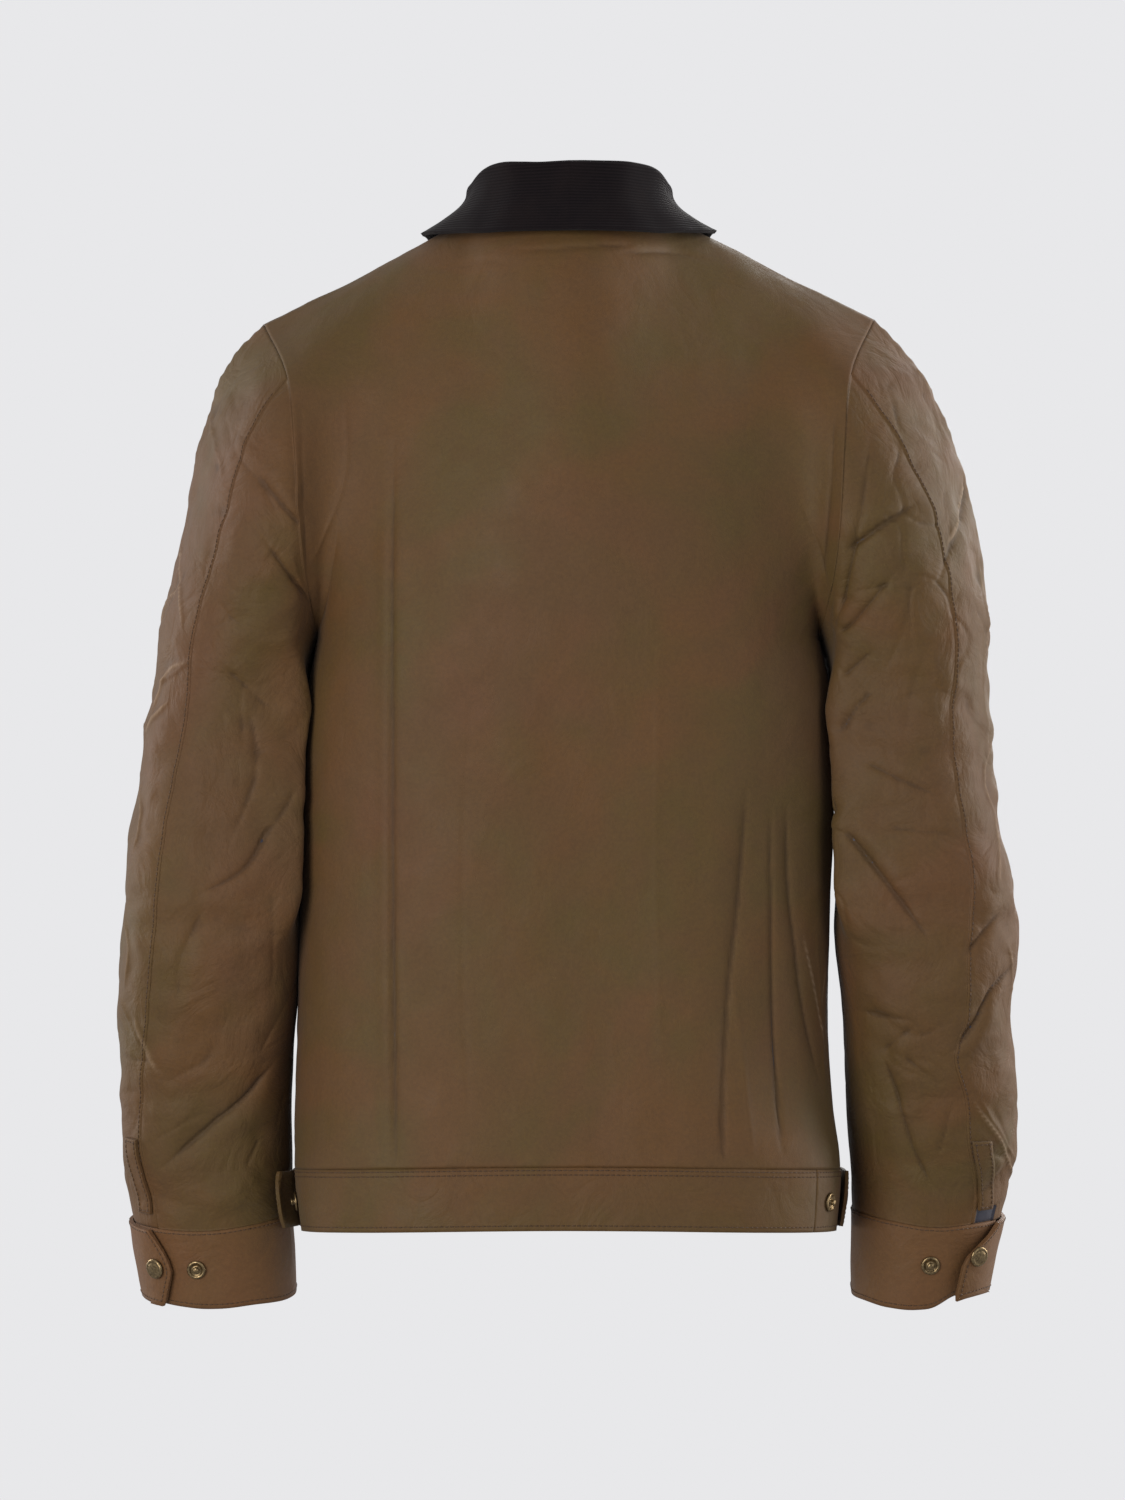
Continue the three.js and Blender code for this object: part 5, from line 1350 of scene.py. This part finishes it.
for arm_side, arm in SLEEVES.items():
    for part, count in SLEEVE_COLUMNS.items():
        sleeve_piece(arm_side, part, count)
    vent_rows = np.linspace(VENT["top_v"], VENT["bottom_v"], VENT_ROWS)
    seam = along(ELBOW_SEAM, "v", arm_side, vent_rows)
    across = np.linspace(0, 1, VENT_COLUMNS)[:, None]
    vent_a = seam[None] + VENT["from_seam"] + VENT["width"] * across
    surface = sleeve_surface(arm_side, vent_a, vent_rows)
    relief = sleeve_relief(arm_side, surface[0], vent_a, vent_rows)
    panel("vent_" + arm_side, surface, relief + VENT["lay"] + STRIP, STRIP, {}, materials=(WAXED, WAXED))
    k = np.linspace(CUFF_TOP_GAP, 1, CUFF_ROWS)
    across = np.linspace(0, 1, CUFF_COLUMNS)[:, None]
    cuff_a = arm["cuff_start"] + (cuff_end(arm, k) - 360 - arm["cuff_start"])[None] * across
    surface = cuff_surface(arm_side, cuff_a, np.broadcast_to(k, cuff_a.shape))
    relief = 0.7 * noise(surface[0], 36, 11) + 0.25 * noise(surface[0], 12, 12)
    panel("cuff_" + arm_side, surface, relief, BAND, {2: 1}, materials=(WAXED, WAXED), bleached=0.5)

# The adjuster tabs at the waist.
TAB_LIFTS_AT = 1.05
TAB_LAY = BAND_LIFT + LAY + STRIP
TABS = dict(
    left=dict(mirror=1, start=1.2, end=0.92, stand_off=11, stud=0.895),
    right=dict(mirror=-1, start=1.22, end=0.95, stand_off=1.5, stud=0.76),
)
TAB_TOP, TAB_BOTTOM = 0.03, 0.93
TAB_CAP_IN = 0.075


def tab_points(tab, u, k):
    """u and k are arrays of one shape."""
    shape = u.shape
    out = []
    for uu, kk in zip(u.ravel(), k.ravel()):
        near = band_grid(np.array([uu - 0.004, uu, uu + 0.004]), np.array([kk - 0.02, kk, kk + 0.02]))
        n = middle_normal(near)
        off = tab["stand_off"] * smooth(-uu, -TAB_LIFTS_AT, -tab["end"]) ** 1.3
        out.append(near[1, 1] + n * (TAB_LAY + off))
    return np.array(out).reshape(shape + (3,))


for tab_side, tab in TABS.items():
    s, k = np.meshgrid(np.linspace(0, 1, TAB_COLUMNS), np.linspace(0, 1, TAB_ROWS), indexing="ij")
    pointed = 1 - 0.1 * np.abs(2 * k - 1) ** 2
    u = tab["start"] + (tab["end"] - tab["start"]) * s * pointed
    grid = tab_points(tab, u, TAB_TOP + (TAB_BOTTOM - TAB_TOP) * k)
    n = -normals(grid)
    mirror = mirror_of(tab)
    relief = 0.4 * noise(grid, 20, 13)
    panel("waist_tab_" + tab_side, (grid * mirror, n * mirror), relief, STRIP, {}, materials=(WAXED, WAXED))
    cap_u = tab["end"] + TAB_CAP_IN
    tab["at"] = tab_points(tab, np.array([cap_u, cap_u + 0.01, cap_u]), np.array([0.48, 0.48, 0.52]))

# The collar.
STAND_TO_NECK = 0.9
STAND_GAP = 1.5


def body_at(back, c, v, lift):
    near = body_grid(back, np.array([c - 1e-3, c, c + 1e-3]), np.array([v - 1e-3, v, min(v + 1e-3, 2)]))
    n = middle_normal(near) * (-1 if back else 1)
    return near[1, 1] + n * lift, n


def leaf_edge(w):
    top = points_along(LEAF_EDGE, "w", 1.0)
    if w <= 1:
        return points_along(LEAF_EDGE, "w", w)
    c, t = along(LEAF_EDGE_ON_FRONT, "w", "c", w), along(LEAF_EDGE_ON_FRONT, "w", "t", w)
    on_front = body_at(False, float(c), 1 + min(float(t), 0.999), COLLAR_CLEAR)[0]
    return on_front + (top - on_front) * (1 - smooth(w, 1, 1.12))


def collar_column(w, s):
    """Points at w on the left side for many places s across the collar."""
    near = 0.02
    fold = points_along(FOLD_LINE, "w", w)
    ahead = points_along(FOLD_LINE, "w", min(w + near, 2))
    behind = points_along(FOLD_LINE, "w", max(w - near, 0))
    if w < near:
        behind[0] = -ahead[0]
    way = unit(ahead - behind)
    out = np.array([0.0, 1.0, 0.0]) if w < near else unit(np.array([-way[1], way[0], 0]))
    up = unit(np.cross(out, way))
    up = up if up[2] > 0 else -up
    s = s[:, None]
    turn = np.pi * (s - 1)
    rolled = fold + out * COLLAR_ROLL * np.cos(turn) + up * COLLAR_ROLL * np.sin(turn)
    top, edge = fold + out * COLLAR_ROLL, leaf_edge(w)
    leaf = hermite(s, edge, top, top - edge, up * np.linalg.norm(top - edge))
    top = fold - out * COLLAR_ROLL
    bottom = top_edge(w <= 1, np.array([NECK_SHARE * (w if w <= 1 else 2 - w)]))[0]
    bottom = bottom + unit(top - bottom) * STAND_GAP - out * STAND_TO_NECK
    fall = -up * np.linalg.norm(top - bottom)
    stand = hermite(s - 2, top, bottom, fall, bottom - top)
    return np.where(s < 1, leaf, np.where(s <= 2, rolled, stand))


collar_w = np.linspace(-2, 2, COLLAR_COLUMNS)
roll, stand = np.linspace(1, 2, ROLL_ROWS)[1:], np.linspace(2, 3, STAND_ROWS)[1:]
collar_s = np.concatenate([np.linspace(0, 1, LEAF_ROWS), roll, stand])
grid = np.stack([collar_column(abs(w), collar_s) * [1 if w >= 0 else -1, 1, 1] for w in collar_w])
n = -normals(grid)
edges = from_edges(grid)
relief = (0.9 * noise(grid, 30, 14) + 0.4 * noise(grid, 13, 15)) * smooth(edges[3], 0, 20)
relief = relief + 0.7 * hump(edges[2], 3)
points = grid + n * relief[..., None]
collar = cloth("collar", points, n, BAND, (CORD, CORD), dict(wale=edges[2]))
hand_in(collar, ["collar"])
SEWN["collar"] = (points, n)
SMOOTH["collar"] = grid


# Press studs.
# Profiles as (radius, height) from the middle of the top round to the middle of the back.
CAP_PROFILE = (
    (0, 2.3), (2.6, 2.25), (4.3, 1.95), (4.8, 1.7), (5.2, 1.95),
    (6.1, 1.9), (6.8, 1.4), (7.2, 0.7), (7, 0.1), (0, 0.1),
)
STUD_PROFILE = (
    (0, 4.1), (1.6, 4.05), (2.3, 3.6), (2.45, 3.2), (1.95, 2.5), (2, 1), (2.4, 0.7),
    (3.9, 0.7), (4.3, 1.15), (5.1, 1.55), (6, 1.35), (6.4, 0.85), (6.4, 0.1), (0, 0.1),
)
SNAP_SEGMENTS = 48
# How far the studs' backs stand off the cloth's surface.
CUFF_SNAP_LIFT = 0.5
WAIST_SNAP_LIFT = 0.6
FRONT_SNAP_LIFT = 0.2
BAND_SNAP_LIFT = 0.4
FRONT_SNAPS_V = (1.66, 1.3, 0.94, 0.58, 0.2)


def snap(node, profile, at, way):
    """A turned piece of brass that stands on the cloth at a point."""
    at, way = hang(np.asarray(at, float)), unit(np.asarray(way, float))
    side = unit(np.cross(way, [0.0, 0.1, 1.0]))
    other = np.cross(way, side)
    turn = np.linspace(0, 2 * np.pi, SNAP_SEGMENTS, endpoint=False)
    circle = np.cos(turn)[:, None] * side + np.sin(turn)[:, None] * other
    rings = [at + way * h + r * circle for r, h in profile[1:-1]]
    vertices = np.concatenate([*rings, [at + way * profile[0][1]], [at + way * profile[-1][1]]])
    top = len(rings) * SNAP_SEGMENTS
    faces = []
    for k in range(SNAP_SEGMENTS):
        after = (k + 1) % SNAP_SEGMENTS
        faces.append((top, after, k))
        last = (len(rings) - 1) * SNAP_SEGMENTS
        faces.append((top + 1, last + k, last + after))
        for ring in range(len(rings) - 1):
            a, b = ring * SNAP_SEGMENTS, (ring + 1) * SNAP_SEGMENTS
            faces += [(a + k, a + after, b + after), (a + k, b + after, b + k)]
    faces = np.array(faces)
    first = vertices[faces[0]]
    if np.cross(first[1] - first[0], first[2] - first[0]) @ way < 0:
        faces = faces[:, ::-1]
    obj = new_mesh(node, vertices, faces, materials=(BRASS,))
    hand_in(obj, [node])
    return obj


for arm_side, arm in SLEEVES.items():
    p, n = cuff_surface(arm_side, np.array([arm["cap"] - 360.0]), np.array([arm["cap_k"]]))
    snap("cuff_cap_" + arm_side, CAP_PROFILE, p[0] + n[0] * CUFF_SNAP_LIFT, n[0])
    p, n = cuff_surface(arm_side, np.array([float(arm["stud"])]), np.array([arm["stud_k"]]))
    snap("cuff_stud_" + arm_side, STUD_PROFILE, p[0] + n[0] * CUFF_SNAP_LIFT, n[0])
for tab_side, tab in TABS.items():
    mirror = mirror_of(tab)
    a, b, c = tab["at"]
    way = unit(np.cross(b - a, c - a))
    way = way if way @ (a * [1, 1, 0]) > 0 else -way
    snap("waist_cap_" + tab_side, CAP_PROFILE, (a + way * WAIST_SNAP_LIFT) * mirror, way * mirror)
    u = tab["mirror"] * tab["stud"]
    near = band_grid(np.array([u - 0.004, u, u + 0.004]), np.array([0.5, 0.52, 0.54]))
    way = middle_normal(near)
    snap("waist_stud_" + tab_side, STUD_PROFILE, near[1, 1] + way * (BAND_LIFT + WAIST_SNAP_LIFT), way)
for index, v in enumerate(FRONT_SNAPS_V):
    p, n = body_at(False, 0.0, v, LAY + STRIP)
    lift = body_relief(False, p[None, None], np.array([0.0]), np.array([v]))[0, 0]
    snap(f"front_cap_{index + 1}", CAP_PROFILE, p + n * (lift + FRONT_SNAP_LIFT), n)
near = band_grid(np.array([1.996, 2, 2.004]), np.array([0.48, 0.5, 0.52]))
off = BAND_LIFT + BAND + LAY + BAND_SNAP_LIFT
snap("front_cap_6", CAP_PROFILE, near[1, 1] + [0, -off, 0], [0, -1, 0])


# Stitching: short lengths of thread that lie on the cloth.
STITCH = 2.6
STITCH_GAP = 0.9
THREAD_RADIUS = 0.32


def tube_faces(rings, around):
    """The squares between rings of points, each joined to the next."""
    corners = ((r * around, k, (k + 1) % around) for r in range(rings - 1) for k in range(around))
    return [(low + k, low + after, low + around + after, low + around + k) for low, k, after in corners]


def stitches(name, lines):
    vertices, faces = [], []
    box = np.array([(1, 0), (0, 1), (-1, 0), (0, -1)]) * THREAD_RADIUS
    quads = np.array(tube_faces(3, 4))
    ends = np.array([(3, 2, 1, 0), (8, 9, 10, 11)])
    for p, n in lines:
        length = np.concatenate([[0], np.cumsum(np.linalg.norm(np.diff(p, axis=0), axis=1))])
        for start in np.arange(1, length[-1] - STITCH, STITCH + STITCH_GAP):
            at = np.array([start, start + STITCH / 2, start + STITCH])
            q = np.stack([np.interp(at, length, p[:, i]) for i in range(3)], 1)
            out = unit(np.stack([np.interp(at, length, n[:, i]) for i in range(3)], 1))
            side = unit(np.cross(out, q[2] - q[0]))
            rise = np.array([0.05, 0.3, 0.05])[:, None]
            ring = q[:, None] + out[:, None] * (box[None, :, 1:2] + rise[:, None])
            ring = ring + side[:, None] * box[None, :, 0:1]
            count = 12 * len(vertices)
            vertices.append(ring.reshape(-1, 3))
            faces += [quads + count, ends + count]
    obj = new_mesh(name, hang(np.concatenate(vertices)), np.concatenate(faces), materials=(THREAD,))
    hand_in(obj, [])
    return obj


def line_along(name, distance, edge, start=0.0, end=1.0):
    """A line on a sewn piece at a distance from one of its four edges: 0 first, 1 last, 2 low, 3 high."""
    points, n = SEWN[name]
    d = from_edges(SMOOTH[name])[edge]
    sideways = edge in (0, 1)
    rows = points.shape[1] if sideways else points.shape[0]
    p, out = [], []
    for row in range(int(rows * start), int(rows * end)):
        track = d[:, row] if sideways else d[row]
        order = np.argsort(track)
        at = (slice(None), row) if sideways else (row, slice(None))
        where = [np.interp(distance, track[order], points[at][order, i]) for i in range(3)]
        p.append(where)
        out.append([np.interp(distance, track[order], n[at][order, i]) for i in range(3)])
    return np.array(p), unit(np.array(out))


stitches(
    "stitching_body",
    [
        *(line_along(band, distance, 2) for band in BANDS for distance in (1.9, 4.9)),
        *(line_along(band, 3.5, 3) for band in BANDS),
        line_along("front_placket", 3, 0),
        line_along("front_placket", 3, 1),
    ],
)
stitches(
    "stitching_sleeves",
    [
        *(line_along(f"sleeve_{s}_top", 2.2, 0, 0.02, 0.92) for s in SLEEVES),
        *(line_along(f"cuff_{s}", 2.2, 2) for s in SLEEVES),
        *(line_along(f"cuff_{s}", 3.2, 3) for s in SLEEVES),
        *(line_along(f"cuff_{s}", 3.2, 1) for s in SLEEVES),
        *(line_along(f"vent_{s}", 2, e) for s in SLEEVES for e in (0, 1, 2, 3)),
        *(line_along(f"waist_tab_{s}", 2.6, e) for s in TABS for e in (1, 2, 3)),
    ],
)

# Floor, backdrop and light. The sweep's profile is (radius, height) in metres.
SWEEP = (
    (0, -1.05), (4.2, -1.05), (5.2, -0.95), (6, -0.6), (6.5, 0),
    (6.7, 1), (6.4, 3), (5, 5), (2.5, 6.3), (0, 6.6),
)
SWEEP_SEGMENTS = 64
turn = np.linspace(0, 2 * np.pi, SWEEP_SEGMENTS + 1)[:-1]
sweep_rings = [np.stack([r * np.cos(turn), r * np.sin(turn), 0 * turn + z], 1) for r, z in SWEEP]
sweep_points = np.concatenate(sweep_rings) / MM
sweep_faces = np.array(tube_faces(len(SWEEP), SWEEP_SEGMENTS))
nodes = Nodes("paper")
nodes.shade(Base_Color=(0, 0, 0, 1), Specular_IOR_Level=0)
paper = nodes.shade(Emission_Color=srgb(232, 232, 234), Emission_Strength=1)
sweep = new_mesh("sweep", sweep_points, sweep_faces, materials=(paper,))
for reach in ("diffuse", "glossy", "transmission", "shadow", "volume_scatter"):
    setattr(sweep, "visible_" + reach, False)

bpy.context.scene.view_settings.view_transform = "Standard"

WORLD_COLOUR = (0.93, 0.95, 1, 1)
WORLD_STRENGTH = 0.37
world = bpy.data.worlds.new("world")
bpy.context.scene.world = world
world.use_nodes = True
background = world.node_tree.nodes["Background"]
background.inputs["Color"].default_value = WORLD_COLOUR
background.inputs["Strength"].default_value = WORLD_STRENGTH


def softbox(name, where, aim, size, watts, colour=(1, 0.98, 0.95)):
    data = bpy.data.lights.new(name, "AREA")
    data.shape = "RECTANGLE"
    data.size, data.size_y = size
    data.energy = watts
    data.color = colour
    light = bpy.data.objects.new(name, data)
    bpy.context.collection.objects.link(light)
    light.location = where
    light.rotation_euler = (Vector(aim) - Vector(where)).to_track_quat("-Z", "Y").to_euler()
    light.visible_camera = False


softbox("key", (1.7, 2.85, -0.1), (0.05, 0, -0.42), (1.6, 2.2), 69)
softbox("fill", (-2.2, 2.4, 0.1), (0, 0, -0.35), (1.8, 2.2), 18, (0.97, 0.98, 1))
softbox("rim_left", (2.3, -0.9, 0.1), (0.2, 0, -0.35), (0.5, 2.2), 34)
softbox("rim_right", (-2.3, -0.5, 0.1), (-0.2, 0, -0.35), (0.5, 2.2), 56)
softbox("front", (-1.0, -2.9, 0.9), (0, 0, -0.35), (2.0, 2.2), 62)
